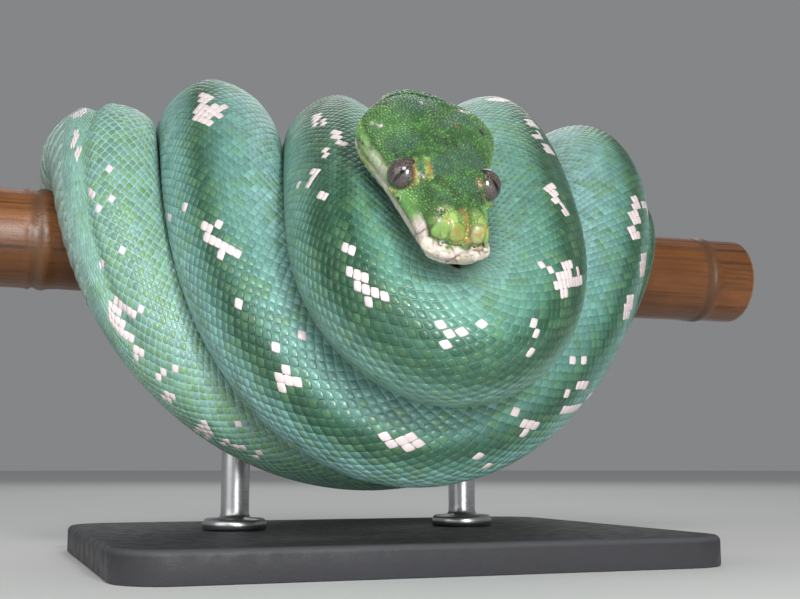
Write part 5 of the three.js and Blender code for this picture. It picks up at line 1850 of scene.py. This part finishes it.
class TreePythonColours(bpy.types.PropertyGroup):
    back: colour("Back", "Scales of the back and sides", (0.105, 0.265, 0.215))
    flank: colour("Flank", "Paler scales low on the sides", (0.21, 0.40, 0.375))
    # painted shade of the lower sides, which turn away from the light
    low_flank: colour("Low flank", "Greyer green near the belly", (0.155, 0.275, 0.23))
    spine: colour("Spine", "Dark green band along the ridge", (0.022, 0.085, 0.045))
    leaf: colour("Leaf green", "Green scales scattered in the blue-green", (0.11, 0.24, 0.095))
    diamond: colour("Stretched scales", "Yellow-green scales of the stretched limb", (0.165, 0.325, 0.125))
    # also a painted highlight on the rims of the body's scales
    net: colour("Net", "Pale blue skin between stretched scales", (0.30, 0.48, 0.47))
    belly: colour("Belly", "Cream of the belly plates", (0.52, 0.52, 0.38))
    white: colour("White scales", "Pinkish white of the scattered scales", (0.74, 0.63, 0.63))
    head: colour("Head", "Green of the crown", (0.017, 0.078, 0.018))
    head_light: colour("Head, light", "Lighter green of single head scales", (0.068, 0.2, 0.044))
    cheek: colour("Cheek", "Yellow-green of cheeks and temples", (0.155, 0.35, 0.095))
    lobe: colour("Snout", "Yellow-green of the snout's lobes", (0.27, 0.41, 0.11))
    rust: colour("Rust", "Orange-brown specks and the snout's seam", (0.34, 0.15, 0.025))
    # near-black flecks, and painted shade in creases and hollows of the head
    fleck_and_shade: colour("Flecks", "Near-black flecks on the crown", (0.02, 0.025, 0.012))
    lip: colour("Lip", "Cream of the upper lip", (0.64, 0.57, 0.50))
    jaw: colour("Jaw", "Cream of the lower jaw", (0.62, 0.57, 0.48))
    # painted shade, put in the grooves between the head's scales
    groove: colour("Grooves", "Dark between the head's plates", (0.05, 0.075, 0.03))
    # painted shade in the folds of the lip
    crease: colour("Creases", "Brown in the folds of the lip", (0.16, 0.10, 0.05))
    iris: colour("Iris", "Dark brown of the eye", (0.026, 0.021, 0.019))
    iris_vein: colour("Iris veins", "Pale net over the iris", (0.145, 0.112, 0.098))
    cane: colour("Cane", "Orange-brown rind", (0.165, 0.057, 0.013))
    cane_streak: colour("Cane streaks", "Dark lengthwise streaks", (0.05, 0.02, 0.007))
    cane_node: colour("Cane joints", "Brown of the joints", (0.10, 0.045, 0.018))
    cane_cut: colour("Cane ends", "Pale cut wall", (0.46, 0.31, 0.15))
    base_paint: colour("Base paint", "Matt black paint", (0.03, 0.03, 0.034))
    steel: colour("Steel", "Brushed steel of the rods", (0.56, 0.57, 0.58))


class TREE_PYTHON_PT_panel(bpy.types.Panel):
    bl_idname = "TREE_PYTHON_PT_panel"
    bl_label = "Tree Python"
    bl_space_type = "VIEW_3D"
    bl_region_type = "UI"
    bl_category = "Tree Python"

    def draw(self, context):
        for group in (context.scene.tree_python_sizes, context.scene.tree_python_colours):
            column = self.layout.column()
            for name in type(group).__annotations__:
                column.prop(group, name)
        for operator in OPERATORS:
            self.layout.operator(operator.bl_idname)


OPERATORS = (
    TREE_PYTHON_OT_stage, TREE_PYTHON_OT_skin, TREE_PYTHON_OT_body_scales, TREE_PYTHON_OT_head_scales,
    TREE_PYTHON_OT_belly_plates, TREE_PYTHON_OT_eyes, TREE_PYTHON_OT_cane, TREE_PYTHON_OT_stand,
)
CLASSES = (TreePythonSizes, TreePythonColours, *OPERATORS, TREE_PYTHON_PT_panel)


def register():
    for kind in CLASSES:
        bpy.utils.register_class(kind)
    bpy.types.Scene.tree_python_sizes = bpy.props.PointerProperty(type=TreePythonSizes)
    bpy.types.Scene.tree_python_colours = bpy.props.PointerProperty(type=TreePythonColours)


def unregister():
    del bpy.types.Scene.tree_python_colours
    del bpy.types.Scene.tree_python_sizes
    for kind in reversed(CLASSES):
        bpy.utils.unregister_class(kind)


def main():
    register()
    bpy.ops.tree_python.stage()
    bpy.ops.tree_python.skin()
    bpy.ops.tree_python.body_scales()
    bpy.ops.tree_python.head_scales()
    bpy.ops.tree_python.belly_plates()
    bpy.ops.tree_python.eyes()
    bpy.ops.tree_python.cane()
    bpy.ops.tree_python.stand()


if __name__ == "__main__":
    main()
